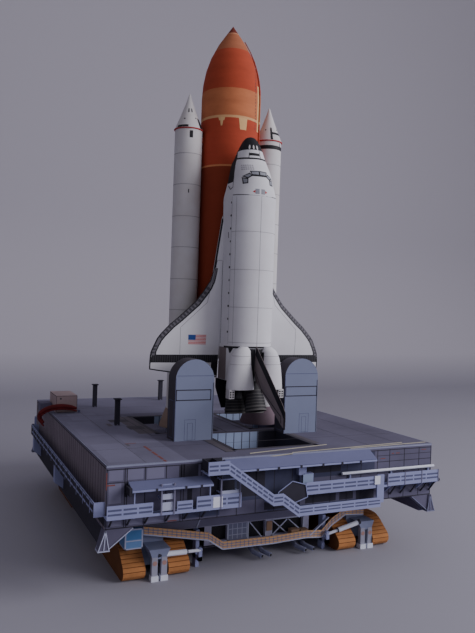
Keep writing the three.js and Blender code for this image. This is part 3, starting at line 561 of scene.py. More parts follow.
def build_boosters():
    """Each booster's cone, case and flared skirt, its seams, its red ring and its black print."""
    base, cone, tip = (float(stack_height(station)) for station in (2436, 940, 744))
    taper = [(float(booster_radius(z)), z) for z in stack_height([880, 820, 775, 755, 744])]
    lip = CASE_RADIUS + 0.45
    cone_wall = [(0.0, cone), (lip, cone), (lip, cone + 0.3), *taper, (0.0, tip + 0.15)]
    case_wall = [(0.0, base), (CASE_RADIUS, base), (CASE_RADIUS, cone), (0.0, cone)]
    skirt_wall = [(0.0, DECK_TOP), (FOOT_RADIUS, DECK_TOP), (FOOT_RADIUS, DECK_TOP + 2.3),
                  (FLARE_RADIUS, base), (0.0, base)]
    for side, sign, skirt_finish, bars_round, dots in BOOSTERS:
        surface = booster_surface(sign)
        for part, wall, finish, slot, node_part in (
                ("cone", cone_wall, white, "grey_card", "nose"),
                ("tube", case_wall, white, "grey_card", "case"),
                ("flare", skirt_wall, skirt_finish, "skirt_card", "skirt")):
            shape = lathe(wall, AXIS[0] + sign * BOOSTER_OFFSET, AXIS[1])
            piece(f"booster_{side}_{part}", shape, finish, [f"booster_{side}_{node_part}"])
        seams = [panel(surface, 0, 360, z - 0.22, z + 0.22, (96, 1)) for z in SEAM_HEIGHTS]
        piece(f"booster_{side}_seams", merge(seams), line_grey)
        ring = panel(surface, 0, 360, cone - 0.9, cone + 0.1, (96, 1), 0.55)
        piece(f"booster_{side}_ring", ring, red)
        marks = booster_marks(surface, bars_round, dots)
        piece(f"booster_{side}_print", merge(marks), black)


# Orbiter: its body, wings, fin, rear pods, engines and flap

def blend_rows(station, rows):
    """The orbiter's section at a station, from rows of station and five sizes, in real inches."""
    rows = np.array(rows, float)
    return [smooth(station, rows[:, 0], rows[:, i]) for i in range(1, rows.shape[1])]


# Station of the body's rear face, where its flap is hinged
BODY_REAR = 1513
# Columns: station, half width, bottom, shoulder, top, roundness of the lower corners
BODY_ROWS = [
    (262, 5, 328, 333, 338, 0.98), (266, 17, 317, 333, 350, 0.95), (278, 32, 303, 333, 366, 0.9),
    (300, 45, 290, 334, 384, 0.85), (335, 60, 281, 336, 402, 0.7), (372, 73, 275, 340, 412, 0.55),
    (404, 86, 273, 345, 421, 0.45), (455, 96, 272, 358, 458, 0.35), (500, 102, 272, 374, 474, 0.25),
    (545, 112, 272, 384, 482, 0.21), (582, 120, 272, 390, 486, 0.18), (640, 120, 272, 390, 486, 0.18),
    (BODY_REAR, 120, 272, 390, 486, 0.18),
]


def orbiter(station, side, height):
    """A point of the orbiter from its station, side and height in real inches."""
    station, side, height = np.broadcast_arrays(station, side, height)
    x, y = AXIS[0] + side * INCH, AXIS[1] - (height - AXIS_HEIGHT) * INCH
    return np.stack([x, y, stack_height(station + ORBITER_SHIFT)], -1)


def orbiter_faces(shape):
    """The station and the height of the middle of each face of a shape, in the orbiter's real inches."""
    centres = face_centres(shape)
    return stack_station(centres[:, 2]) - ORBITER_SHIFT, AXIS_HEIGHT - (centres[:, 1] - AXIS[1]) / INCH


def body_point(turn, station):
    """A point of the orbiter's body. turn runs 0 to 180 over the arched top from the right shoulder,
    to 230 down the left side, 250 round the corner, 290 under the belly, 310 and 360 back up."""
    half, bottom, shoulder, top, rounding = blend_rows(station, BODY_ROWS)
    turn = np.mod(turn, 360.0)
    mirror = np.where(turn > 270, -1.0, 1.0)
    low = np.where(turn > 270, 540 - turn, turn)
    arch = np.radians(np.minimum(turn, 180))
    down, across = (shoulder - bottom) * rounding, half * rounding
    corner = np.radians(np.clip((low - 230) / 20 * 90, 0, 90))
    side_low = np.clip((low - 180) / 50, 0, 1)
    belly = np.clip((low - 250) / 20, 0, 1)
    left = np.where(low < 250, half - across + across * np.cos(corner), (half - across) * (1 - belly))
    height = np.where(low < 230, shoulder - side_low * (shoulder - bottom - down),
                      bottom + down - down * np.sin(corner))
    side = np.where(turn <= 180, half * np.cos(arch), -mirror * left)
    height = np.where(turn <= 180, shoulder + (top - shoulder) * np.sin(arch), height)
    return orbiter(station, side, height)


def build_body():
    """The body's white skin, black at its nose cap, under its belly, on its rear face and low in front."""
    stations = np.concatenate([262 + 146 * np.linspace(0, 1, 30) ** 1.6, np.linspace(412, 600, 36),
                               np.linspace(620, BODY_REAR, 30)])
    turn, station = np.meshgrid(np.arange(0, 360, 2.5), stations, indexing="ij")
    shape = closed(body_point(turn, station))
    place, height = orbiter_faces(shape)
    cap, belly, rear = place < 300, height < 276, place > BODY_REAR - 1
    side_band = (place < 505) & (height < np.interp(place, [341, 379, 505], [296, 334, 346]))
    piece("orbiter_body", shape, tile, ["orbiter_nose", "orbiter_midbody", "orbiter_aft_body"],
          dark=black, pick=cap | belly | rear | side_band)


# The length in mm of a degree round the body's top and of an inch along it
BODY_SCALE = (0.34, INCH)
# The turns of the middle of the cockpit's front windows and of its roof windows
WINDOW_TURN, ROOF_TURN = 94, 93.5


def both_sides(corners, middle):
    """The corners of a patch on the left of the body, and the same mirrored about a turn."""
    return [corners, [(2 * middle - turn, station) for turn, station in corners]]


def build_nose_marks():
    """The black cap and side bands of the nose, its small panels, and the windows of the cockpit."""
    stations = np.linspace(341, 508, 60)
    edge = np.interp(stations, [341, 360, 379, 411, 450, 487, 508], [225, 196, 176, 175, 178, 184, 186])
    turn = edge + np.linspace(0, 1, 12)[:, None] * (270 - edge)
    shapes = [panel(body_point, 0, 360, 264, 341, (120, 24))]
    shapes += [sheet(body_point, side, stations + 0 * side) for side in (turn, 180 - turn)]
    shapes.append(panel(body_point, 76, 120, 359, 373, (16, 4)))
    arc = [(196, 380), (186, 385), (150, 387), (115, 388.5), (83, 387), (39, 387), (20, 387), (-8, 384)]
    shapes.append(ribbon(body_point, arc, 1.5, BODY_SCALE))
    shapes.append(lines(body_point, [[(120.5, 357), (120.5, 387)], [(74, 341), (73, 386)]], 0.8, BODY_SCALE))
    hooks = [[(186, 506), (183, 537), (198, 545), (220, 521)], [(-6, 506), (-3, 537), (-18, 545), (-40, 521)]]
    shapes.append(lines(body_point, hooks, 0.9, BODY_SCALE))
    frames = [
        [(122, 460), (WINDOW_TURN, 459), (WINDOW_TURN, 489), (115.5, 488)],
        [(146.5, 488), (122, 470), (115, 487), (128, 501)],
        [(148, 493), (127, 500), (126.5, 526), (142.5, 529)],
    ]
    for frame_corners in frames:
        for corners in both_sides(frame_corners, WINDOW_TURN):
            shapes.append(patch(body_point, corners, (8, 6)))
    piece("nose_black_print", merge(shapes), black)
    panes = [
        [(117.5, 464.5), (96.2, 463.5), (96.2, 479), (115.5, 478.5)],
        [(140.5, 486.5), (122.2, 476), (119.2, 484.5), (128.5, 495)],
        [(144.3, 498.5), (129.6, 505), (129.4, 521), (139.8, 523)],
    ]
    shapes = [patch(body_point, corners, (6, 4), 0.11) for pane in panes
              for corners in both_sides(pane, WINDOW_TURN)]
    roof = [(106.5, 553), (96, 552), (95.5, 578), (106, 579)]
    shapes += [patch(body_point, corners, (6, 4), 0.09) for corners in both_sides(roof, ROOF_TURN)]
    piece("cockpit_panes", merge(shapes), pane_grey)
    point = [(113, 567), (106.8, 559), (106.8, 574), (112.9, 567.4)]
    shapes = [patch(body_point, corners, (4, 4), 0.09) for corners in both_sides(point, ROOF_TURN)]
    piece("roof_window_points", merge(shapes), red)
    ovals = [(122, 327, 4.5, 13), (101.5, 327.5, 4.2, 13), (82, 328, 4.5, 13)]
    piece("nose_ovals", merge([spot(body_point, *oval, 0.12) for oval in ovals]), white)
    tiles = [panel(body_point, turn, turn + 5, station, station + 6.5, (3, 2))
             for station in (425, 436, 447) for turn in np.arange(108, 150, 7.0)]
    piece("nose_tile_marks", merge(tiles), pale_grey)


def build_body_marks():
    """Door seams across and along the body, a row of hinge dots on each side, and its rear gap, with black
    painted shade between its pods and on its rear corners, and a browner painted shade down its rear sides.
    """
    seams = [[(turn, station) for turn in np.linspace(173, 7, 12)] for station in (765, 955, 1143, 1319)]
    seams += [[(90, 587), (90, 1336)], [(176, 590), (175, 1330)], [(4, 590), (5, 1330)]]
    seams += [[(156, 592), (155, 1330)], [(174, 583), (150, 585), (98, 586), (30, 586), (8, 586)]]
    piece("door_seams", lines(body_point, seams, 0.32, BODY_SCALE), line_grey)
    dots = [(180 + 2 * math.sin(k), 618 + 65 * k, 2.4, 5.5) for k in range(11)]
    dots += [(-turn, station, wide, high) for turn, station, wide, high in dots]
    shapes = [spot(body_point, *dot) for dot in dots]
    marks = [[(194, 764), (193, 794)], [(-14, 764), (-13, 794)]]
    shapes.append(lines(body_point, marks, 1.0, BODY_SCALE))
    gap = [(turn, 1341 + 4 * abs(turn - 90) / 110) for turn in np.linspace(200, -20, 40)]
    shapes.append(ribbon(body_point, gap, 1.7, BODY_SCALE, 2))
    joint = [[(174, 581), (150, 583), (121, 585)], [(59, 585), (30, 583), (6, 581)]]
    roots = [[(224, 905), (224, 1330)], [(-44, 905), (-44, 1330)]]
    shapes.append(lines(body_point, joint + roots, 0.5, BODY_SCALE))
    # Black strips between the pods by the fin's root, and on the body's corners beside the flap: painted
    # shade.
    for start, end in ((93, 113), (67, 87)):
        shapes.append(panel(body_point, start, end, 1348, 1512, (8, 8)))
    shapes += [patch(body_point, [(152, 1348), (172, 1348), (166, 1372), (161, 1372)], (4, 4)),
               panel(body_point, 229, 252, 1424, 1512), panel(body_point, 288, 311, 1424, 1512)]
    piece("body_black_print_and_shade", merge(shapes), black)
    # A browner tone down the rear of the body's sides, which the wings and masts shade: painted shade.
    sides = [panel(body_point, *turns, 1347, 1511.5, (16, 8)) for turns in ((184, 229), (-49, -4))]
    piece("body_rear_shade", merge(sides), shade_white)


# Columns: side, leading edge, trailing edge, thickness
WING_ROWS = np.array([
    (113, 620, 1513, 34), (120, 671, 1512, 33), (137, 793, 1510, 32), (160, 958, 1507, 31),
    (176, 1010, 1506, 30), (190, 1030, 1505, 28), (214, 1068, 1503, 26),
    (255, 1122, 1499, 23), (338, 1198, 1489, 18), (386, 1238, 1482, 15), (430, 1284, 1476, 11),
    (451, 1311, 1473, 9), (467, 1346, 1470, 7), (481, 1378, 1468, 5), (486, 1420, 1467, 4),
], float)
# Columns: share of the chord, share of the thickness there
WING_TOP = np.array([(0, 0.3), (0.02, 0.55), (0.05, 0.72), (0.16, 0.95), (0.4, 1), (0.75, 0.62), (1, 0.16)])
# Height of the wings' flat underside
WING_FLOOR = 270


def wing_edges(side):
    """A wing's leading edge, trailing edge and thickness at a distance to the side."""
    return [np.interp(np.abs(side), WING_ROWS[:, 0], WING_ROWS[:, i]) for i in (1, 2, 3)]


def wing_top(station, side):
    """A point of a wing's upper face: blunt in front, fullest at two fifths of the chord."""
    lead, trail, thick = wing_edges(side)
    share = np.clip((station - lead) / (trail - lead), 0, 1)
    return orbiter(station, side, WING_FLOOR + thick * smooth(share, *WING_TOP.T))


def build_wings():
    """Each wing's skin, black below. Its tip, under a millimetre thick, stays open."""
    spread = np.linspace(WING_ROWS[1, 0], WING_ROWS[-1, 0], 48)
    sides = np.unique(np.concatenate([WING_ROWS[1:, 0], spread]))
    shares = np.concatenate([np.linspace(0, 0.05, 8), np.linspace(0.07, 1, 30)])
    for name, sign in SIDES:
        share, side = np.meshgrid(shares, sign * sides, indexing="ij")
        lead, trail, _ = wing_edges(side)
        station = lead + share * (trail - lead)
        upper = wing_top(station, side)
        lower = orbiter(lead + np.maximum(share, 0.02) * (trail - lead), side, WING_FLOOR)
        shape = closed(np.concatenate([upper, lower[::-1]], 0), last=False)
        under = orbiter_faces(shape)[1] < WING_FLOOR + 0.3
        piece(f"wing_{name}_skin", shape, tile, [f"wing_{name}"], dark=black, pick=under)


def wing_strip(sign, sides, near, far, lift=0.07):
    """A printed strip along a wing's leading edge, between two distances in from it, in inches.

    It narrows toward the root, where the edge runs nearly straight."""
    side = np.linspace(*sides, 90)
    lead = wing_edges(side)[0]
    along = np.stack([np.gradient(lead), np.gradient(side)], -1)
    along /= np.linalg.norm(along, axis=1, keepdims=True)
    away = np.linspace(near, far, 5)[:, None] * np.interp(side, [150, 195], [0.4, 1])
    station, across = lead + away * along[:, 1], side - away * along[:, 0]
    return sheet(wing_top, station, sign * across, lift)


def tip_strip(sign, stations, near, far, lift=0.08):
    """The same past the bend of the tip, where the edge runs down it: measured along the wing's span."""
    station = np.linspace(*stations, 24)
    tip = np.interp(station, WING_ROWS[:, 1], WING_ROWS[:, 0])
    inset = np.linspace(near, far, 5)[:, None]
    return sheet(wing_top, (station + 0 * inset).T, (sign * (tip - inset)).T, lift)


def build_wing_marks():
    """Edge bands, panel lines and elevons on both wings, and a striped panel on the left one."""
    for name, sign in SIDES:
        shapes = [wing_strip(sign, (122, 160), 0, 11), wing_strip(sign, (158, 485), 0, 3.6),
                  wing_strip(sign, (158, 461), 20, 27), tip_strip(sign, (1334, 1396), 21, 28)]
        band = [(1392, sign * 122), (1432, sign * 122), (1432, sign * 485), (1392, sign * 484)]
        shapes.append(patch(wing_top, band, (4, 40)))
        rear = np.linspace(124, 485, 60)
        trail = wing_edges(rear)[1]
        inset = np.linspace(6, 0.3, 3)[:, None]
        shapes.append(sheet(wing_top, trail - inset, sign * rear + 0 * inset))
        shapes.append(panel(wing_top, 1414, 1466, sign * 480, sign * 485.5, (8, 2)))
        shapes.append(tip_strip(sign, (1290, 1434), 0.6, 6, 0.2))
        shapes.append(panel(wing_top, 1430, 1498, sign * 122, sign * 158, (8, 6)))
        piece(f"wing_{name}_black_print", merge(shapes), black)
        outline = [(1391, sign * 332), (1254, sign * 334), (1124, sign * 196), (905, sign * 146),
                   (905, sign * 124)]
        line = ribbon(wing_top, outline, 0.35, (INCH, INCH))
        piece(f"wing_{name}_panel_lines", line, line_grey)
        edge = [wing_strip(sign, (158, 461), 3.6, 20), tip_strip(sign, (1332, 1396), 4, 21)]
        piece(f"wing_{name}_edge_band", merge(edge), band_grey)
        ticks = [[(1396, sign * side), (1428, sign * side)] for side in range(132, 480, 12)]
        shapes = [wing_strip(sign, (side, side + 8), 4.5, 18.5, 0.1) for side in range(196, 450, 15)]
        shapes += [tip_strip(sign, (start, start + 8), 5, 19, 0.1) for start in (1346, 1362, 1378)]
        shapes.append(lines(wing_top, ticks, 0.5, (INCH, INCH), 2, 0.1))
        piece(f"wing_{name}_dark_tiles", merge(shapes), dark_grey)
    edges = 1290 + 48 * np.arange(14) / 13
    stripes = [panel(wing_top, edges[k], edges[k + 1], -291, -195, (2, 12)) for k in range(0, 13, 2)]
    piece("wing_stripes", merge(stripes), stripe_red)
    piece("wing_canton", panel(wing_top, 1290, 1316, -291, -252, (4, 6), 0.12), canton_blue)


# Columns: height, leading edge, hinge, trailing edge, half thickness at the hinge
FIN_ROWS = np.array([
    (483, 1334, 1454, 1506, 10), (772, 1586, 1634, 1686, 4), (797, 1616, 1650, 1697, 3),
], float)


def fin_half(station, height):
    """Half the fin's thickness: thin at its leading edge, fullest at the hinge, thin again behind."""
    lead, hinge, trail, half = (np.interp(height, FIN_ROWS[:, 0], FIN_ROWS[:, i]) for i in (1, 2, 3, 4))
    ahead = np.clip((station - lead) / (hinge - lead), 0, 1)
    behind = np.clip((station - hinge) / (trail - hinge), 0, 1)
    return np.where(station < hinge, 0.8 + (half - 0.8) * np.sqrt(ahead), half + (1.5 - half) * behind)


def fin_left(station, height):
    """A point of the fin's left side."""
    return orbiter(station, -fin_half(station, height), height)


def fin_right(height, station):
    """A point of the fin's right side, with height first, so that prints stand out from it."""
    return orbiter(station, fin_half(station, height), height)


def build_fin():
    """The fin's skin, open at its thin top, darkened to a browner tone as painted shade, with its black
    leading edge, top band and rudder lines.
    """
    heights = np.linspace(FIN_ROWS[0, 0], FIN_ROWS[-1, 0], 30)
    share, height = np.meshgrid(np.linspace(0, 1, 26), heights, indexing="ij")
    lead, trail = (np.interp(height, FIN_ROWS[:, 0], FIN_ROWS[:, i]) for i in (1, 3))
    station = lead + share * (trail - lead)
    ring = np.concatenate([fin_left(station, height), fin_right(height, station)[::-1]], 0)
    # The fin's skin is darkened to a browner tone as painted shade.
    piece("fin_skin", closed(ring, last=False), shade_white, ["fin"])
    height = np.linspace(489, 795, 40)
    lead, trail = (np.interp(height, FIN_ROWS[:, 0], FIN_ROWS[:, i]) for i in (1, 3))
    depth = np.linspace(0.3, 40, 7)[:, None]
    shapes = [sheet(fin_left, lead + depth, height + 0 * depth),
              sheet(fin_right, (height + 0 * depth).T, (lead + depth).T)]
    tip = [(1616, 789), (1697, 789), (1697, 796.5), (1616, 796.5)]
    rudder = [
        [(1541, 556), (1641, 762), (1672, 762)],
        [(1541, 556), (1560, 556)],
        [(1460, 500), (1541, 556)],
    ]
    for surface, turned in ((fin_left, 1), (fin_right, -1)):
        shapes.append(patch(surface, [corner[::turned] for corner in tip], (6, 2)))
        paths = [[corner[::turned] for corner in path] for path in rudder]
        shapes.append(lines(surface, paths, 0.8, (INCH, INCH)))
    piece("fin_black_print", merge(shapes), black)


# Columns: station, side, height, half width, half height
POD_ROWS = np.array([
    (1338, 66, 476, 20, 16), (1352, 70, 475, 36, 30), (1375, 76, 474, 47, 40), (1420, 81, 474, 56, 47),
    (1480, 80, 474, 66, 52), (1530, 78, 474, 73, 55), (1548, 78, 474, 74, 55),
], float)


def pod_surface(sign):
    """The side of a rear pod as a function of turn in degrees and station."""

    def place(turn, station):
        side, height, wide, high = (smooth(station, POD_ROWS[:, 0], POD_ROWS[:, i]) for i in (1, 2, 3, 4))
        angle = np.radians(turn)
        return orbiter(station, sign * (side + wide * np.cos(angle)), height + high * np.sin(angle))

    return place


def build_pods():
    """Each rear pod's skin, its nozzle, its seams, black painted shade on its inner side, and the thruster
    block with its holes beside it.
    """
    front, rear = POD_ROWS[0, 0], POD_ROWS[-1, 0]
    stations = np.concatenate([np.linspace(front, 1380, 14), np.linspace(1392, rear, 18)])
    turn, station = np.meshgrid(np.arange(0, 360, 6.0), stations, indexing="ij")
    for name, sign in SIDES:
        surface = pod_surface(sign)
        skin = surface(turn, station)
        middle = skin[:, -1].mean(0)
        skin[:, -1] = middle + 0.985 * (skin[:, -1] - middle)
        shape = closed(skin)
        below = face_centres(shape)[:, 2] < stack_height(rear + ORBITER_SHIFT) + 0.02
        piece(f"rear_pod_{name}_skin", shape, tile, [f"rear_pod_{name}"], dark=black, pick=below)
        start, end = orbiter(1546, sign * 90, 480), orbiter(1592, sign * 94, 486)
        mouth = orbiter(1560, sign * 91, 482)
        path = [start, 0.5 * (start + end), end, end, mouth]
        radii = np.array([11, 18, 22, 20.5, 9]) * INCH
        piece(f"pod_nozzle_{name}", tube(path, radii, 28), bell_black)
        lift = 0.07 * sign
        seams = [panel(surface, 0, 180, seam, seam + 1.6, (30, 1), lift) for seam in (1382, 1423)]
        piece(f"pod_seams_{name}", merge(seams), line_grey)
        # Black on each pod's inner side, in the gap by the fin: painted shade.
        inner = panel(surface, 146, 215, 1350, 1547, (16, 12), lift)
        piece(f"pod_inner_painted_shade_{name}", inner, black)
        low, high = orbiter(1549, sign * 122, 505), orbiter(1592, sign * 150, 462)
        ends = np.sort(np.stack([low, high]), axis=0).T.ravel()
        piece(f"thruster_block_{name}", slabs(ends), white)
        x, y = (low[0] + high[0]) / 2, low[1]
        holes = [(x + dx - 0.7, x + dx + 0.7, y - 0.15, y + 0.3, z, z + 1.3)
                 for dx in (-1.2, 1.2) for z in (high[2] + 1, high[2] + 3, high[2] + 5)]
        piece(f"thruster_holes_{name}", slabs(holes), black)


# A bell's radii at distances below its pivot, in real inches
BELL_DOWNS, BELL_RADII = [40, 66, 95, 140, 190, 219], [17, 24, 34, 43.5, 50, 52]


def bell_surface(station, side, height, tilt):
    """A main engine's bell, by angle in degrees and distance below its pivot in inches."""
    pivot, lean = orbiter(station, side, height), math.radians(tilt)

    def place(angle, down, grow=0.0):
        radius = (smooth(down, BELL_DOWNS, BELL_RADII) + grow) * INCH
        across = radius * np.cos(np.radians(angle))
        y, z = radius * np.sin(np.radians(angle)), -down * INCH + 0 * across
        return pivot + np.stack([across, y * math.cos(lean) - z * math.sin(lean),
                                 y * math.sin(lean) + z * math.cos(lean)], -1)

    return place


# Columns: name, then station, side, height and tilt in degrees of its pivot
BELLS = [("upper", 1445, 0, 440, -16), ("left", 1468, -54, 340, -8), ("right", 1468, 54, 340, -8)]
# Columns: first and last distance below the pivot, and how far the ring stands out, in real inches
BELL_RINGS = [(118, 122, 2), (136, 139, 1.6), (152, 155, 1.6), (167, 170, 1.6), (181, 184, 1.6),
              (195, 203, 2.4), (212, 220, 1.2)]


def build_engines():
    """Each bell is an open shell with a rolled lip, banded by thin rings and a thicker one near its mouth."""
    for name, station, side, height, tilt in BELLS:
        surface = bell_surface(station, side, height, tilt)
        downs = np.concatenate([np.linspace(66, 219, 26), np.linspace(217, 95, 14)])
        grow = np.concatenate([np.zeros(26), np.full(14, -4.5)])
        angle, down = np.meshgrid(np.arange(0, 360, 5.0), downs, indexing="ij")
        shell = closed(surface(angle, down, grow), first=False)
        piece(f"bell_{name}_shell", shell, bell_black, [f"main_engine_{name}"], crease=50)
        rings = []
        for low, high, proud in BELL_RINGS:
            angle, down = np.meshgrid(np.arange(0, 360, 5.0), [low, low, high, high], indexing="ij")
            rings.append(grid(surface(angle, down, np.array([-0.6, proud, proud, -0.6])), loop=True))
        piece(f"bell_{name}_rings", merge(rings), bell_ring)


# Station of the body flap's free edge
FLAP_END = 1668


def build_flap():
    """The body flap: as wide as the body at its hinge, narrower and thinner toward its free edge."""
    share, station = np.meshgrid(np.linspace(-1, 1, 25), np.linspace(BODY_REAR, FLAP_END, 20), indexing="ij")
    across = share * np.interp(station, [BODY_REAR, 1560, FLAP_END], [126, 126, 90])
    upper = orbiter(station, across, np.interp(station, [BODY_REAR, FLAP_END], [294, 278]))
    lower = orbiter(station, across, 272)[:, ::-1]
    piece("body_flap_skin", grid(np.concatenate([upper, lower], 1)), black, ["body_flap"])


# Launch platform: masts, deck, cabinet, hull, gangways, stairs and pedestals

# Half the masts' width, their depth, and the height of the middle of their arched tops
MAST_HALF, MAST_DEPTH, MAST_ARCH = 17.5, 18.0, 148.5


def arch_band(middle, front, back):
    """A thin band laid round the sides and the arched top of a mast, from its front to its back."""
    angle = np.linspace(np.pi, 0, 25)
    across = np.concatenate([[-1], np.cos(angle), [1]])
    up = np.concatenate([[0], np.sin(angle), [0]])
    foot = np.concatenate([[DECK_TOP], MAST_ARCH + 0 * angle, [DECK_TOP]])
    outer, inner = MAST_HALF + 0.1, MAST_HALF - 0.05
    ring = [(outer, front), (outer, back), (inner, back), (inner, front)]
    edges = [np.stack([middle + across * size, y + 0 * across, foot + up * size], -1) for size, y in ring]
    return grid(np.stack(edges), loop=True)


def build_masts():
    """Two arch-topped masts, with painted shade round their sides and arched tops, and a band, a door and
    thin lines in front.
    """
    dark, thin, bold = [], [], []
    for sign, front in ((-1, -102.0), (1, -94.0)):
        middle = sign * 54.5
        # A dark band round each mast's sides and arched top: painted shade.
        dark.append(arch_band(middle, front + 0.3, front + MAST_DEPTH))
        left, right = middle - MAST_HALF, middle + MAST_HALF
        band = (left + 0.5, right - 1.5 + sign, 131, 140.4)
        bold.append(prints(borders([band], 0.85), 1, front))
        door = middle + (-3.5 if sign < 0 else 3.5)
        frames = [(door - 2.4, door + 2.4, DECK_TOP + 0.5, 112), (door - 5, door + 5, DECK_TOP + 0.5, 115)]
        thin.append(prints(borders(frames, 0.25), 1, front))
        rows = [(left + 1, right - 1, 151.8, 152.2), (left + 0.1, left + 0.6, 97.2, 150)]
        thin.append(prints(rows, 1, front))
        bold.append(prints(row_of([right - 1.0], 0.6, 97.2, 146), 1, front))
        thin.append(prints(borders([(front + 3, front + 15, 99, 131)], 0.5), 0, left, -1, 0.2))
    piece("mast_sides_painted_shade", merge(dark), deck_dark, crease=50)
    piece("mast_lines", merge(thin), slot_blue)
    piece("mast_bands", merge(bold), shade_blue)


# Columns: x, y and top of the deck's posts
DECK_POSTS = [(-93, 102, 122), (93, 102, 122), (-98, -15, 122), (98, -15, 122), (-4.5, 141, 121)]
# The engine well's two x and two y, the far wall of the booster wells, and the foot and top of the walls
ENGINE_WELL = (-34, 38, -143, -76)
WELL_BACK = 27.0
WELL_WALL = (53, 96.6)


def build_deck():
    """The deck's square posts, its pale rim, its fields of painted light, its patches and lines, and the
    walls of its wells with painted light and shade.
    """
    posts = [(x - 2.1, x + 2.1, y - 2.1, y + 2.1, DECK_TOP, top - 0.8) for x, y, top in DECK_POSTS]
    posts += [(x - 3.3, x + 3.3, y - 3.3, y + 3.3, top - 0.8, top) for x, y, top in DECK_POSTS]
    piece("deck_post_shafts", slabs(posts), shade_blue)
    top = (2, DECK_TOP, 1)
    rim = [(-145, 145, -169, -168.5), (-145, -144.6, -169, 169), (144.6, 145, -169, 169),
           (-145, 145, 168.5, 169)]
    ends = both_ends(prints([(-145, 145, 95.6, 96.9)], 1, FRONT))
    piece("deck_rim", merge([prints(rim, *top), ends]), rim_blue)
    pale = [(-141, -116, -160, -96), (-112, -84, -100, -60), (-140, -118, -60, 10),
            (-132, -104, 20, 58)]
    piece("deck_pale_patches", prints(pale, *top, 0.05), deck_pale)
    # Paler slate over the left and far parts of the deck, where more light falls: painted light.
    fields = [(-144.2, -84, -168.2, 168), (-84, 144.2, 48, 168)]
    piece("deck_painted_light_fields", prints(fields, *top, 0.03), lit_slate)
    brown = [(-45, -38, -150, -97), (-113.6, -111, -109, -99), (-106.6, -102.4, -19, -6),
             (-90, -76, -62, 30), (40, 47, -140, -96), (76, 90, -62, 30)]
    piece("deck_brown_patches", prints(brown, *top, 0.06), deck_brown)
    rings = borders([(-76, -16, -66, 31), (16, 76, -66, 31), (-38, 42, -147, -72)], 4.0)
    holes = [(-92, -77, -40, -24), (-100, -82, 0, 14)]
    piece("deck_dark_bands", prints(rings + holes, *top), deck_dark)
    seams = borders([(-46, -37.4, -151, -97)], 0.6) + borders([(-82, -10, -72, 37), (10, 82, -72, 37)], 0.5)
    piece("deck_bold_seams", prints(seams, *top, 0.1), shade_blue)
    seams = row_of([-116, 84, 116], 0.25, -168, 168)
    seams += [(-144, 144, y, y + 0.25) for y in (-118, 44, 92)]
    piece("deck_seams", prints(seams, *top, 0.09), deck_dark)
    runs = [(-168, -163), (-161, -149), (-147, -134), (-131, -113)]
    dashes = [(-102, -100, *run) for run in runs] + [(-113, -104, -100.5, -99.2)]
    piece("deck_red_line", prints(dashes, *top, 0.12), line_red)
    rows = [(-30, -161.2, DECK_TOP, 49, -148.2, DECK_TOP), (4, -168.2, DECK_TOP, 120, -159, DECK_TOP),
            (60, -167.6, DECK_TOP, 143, -163, DECK_TOP), (-37, -169.2, 94.2, 4, -169.2, 96.6)]
    piece("deck_cream_lines", bars(rows, 0.8, 0.5, (0.2, 1, 1)), line_cream)
    x0, x1, y0, y1 = ENGINE_WELL
    # Well walls that face the lamp are paler, painted light; those turned from it or in a wall's shadow are
    # darker, painted shade.
    walls = [prints([(x0, 20, *WELL_WALL)], 1, y1), prints([(y0, y1, *WELL_WALL)], 0, x0, 1),
             prints([(-48, -20, *WELL_WALL), (20, 72, *WELL_WALL)], 1, WELL_BACK)]
    piece("well_walls_painted_light", merge(walls), well_blue)
    dark = [prints([(20, x1, *WELL_WALL)], 1, y1), prints([(y0, y1, *WELL_WALL)], 0, x1),
            prints([(-72, -48, *WELL_WALL)], 1, WELL_BACK)]
    for left, right, wall in ((x0, 20, y1), (-72, -20, WELL_BACK), (20, 72, WELL_BACK)):
        joints = row_of(np.arange(left + 5, right, 8.0), 0.7, *WELL_WALL)
        dark.append(prints(joints, 1, wall, -1, 0.14))
    piece("well_joints_and_painted_shade", merge(dark), shade_blue)


def smooth_path(rows, count):
    """A smooth run of count points, or numbers, through given ones."""
    rows = np.array(rows, float)
    places = np.arange(len(rows))
    run = np.linspace(0, len(rows) - 1, count)
    if rows.ndim == 1:
        return smooth(run, places, rows)
    return np.stack([smooth(run, places, rows[:, i]) for i in range(rows.shape[1])], -1)


def build_cabinet():
    """The cabinet at the deck's far left corner, with the thick red duct that wraps its front."""
    skin = slabs([(-140, -118.6, 70, 110, DECK_TOP, 114.3)])
    piece("cabinet_skin", skin, cabinet_tan, ["deck_cabinet"])
    piece("cabinet_side_box", slabs([(-152.5, -141, 92, 108, 96, 104)]), hull_blue)
    front = borders([(-140, -118.6, DECK_TOP + 0.4, 114.2)], 0.4) + [(-136.4, -134.6, 110.4, 112.2)]
    marks = [prints(front, 1, 70.0), prints([(71, 109, 113.6, 114.2)], 0, -140.0)]
    piece("cabinet_lines", merge(marks), deck_dark)
    route = [(-120, 67, 101.4), (-126, 66.5, 103), (-134, 66, 104), (-141, 66.5, 103.8), (-147, 68, 102.4),
             (-152, 70, 99.8), (-155.4, 72, 96), (-155.6, 72.4, 91), (-152.5, 70, 86.8)]
    swell = [1.4, 2.1, 2.4, 2.4, 2.4, 2.4, 2.4, 2.3, 1.8]
    piece("duct_roll", tube(smooth_path(route, 48), smooth_path(swell, 48), 20), duct_red,
          ["deck_duct"])
    strand = np.array(route) + [0.4, -1.6, -2.6]
    piece("duct_strand", tube(smooth_path(strand, 48), 0.8, 12), duct_red)
    piece("duct_valve", slabs([(-118.2, -116.2, 66, 68, DECK_TOP, 99.6)]), slot_blue)


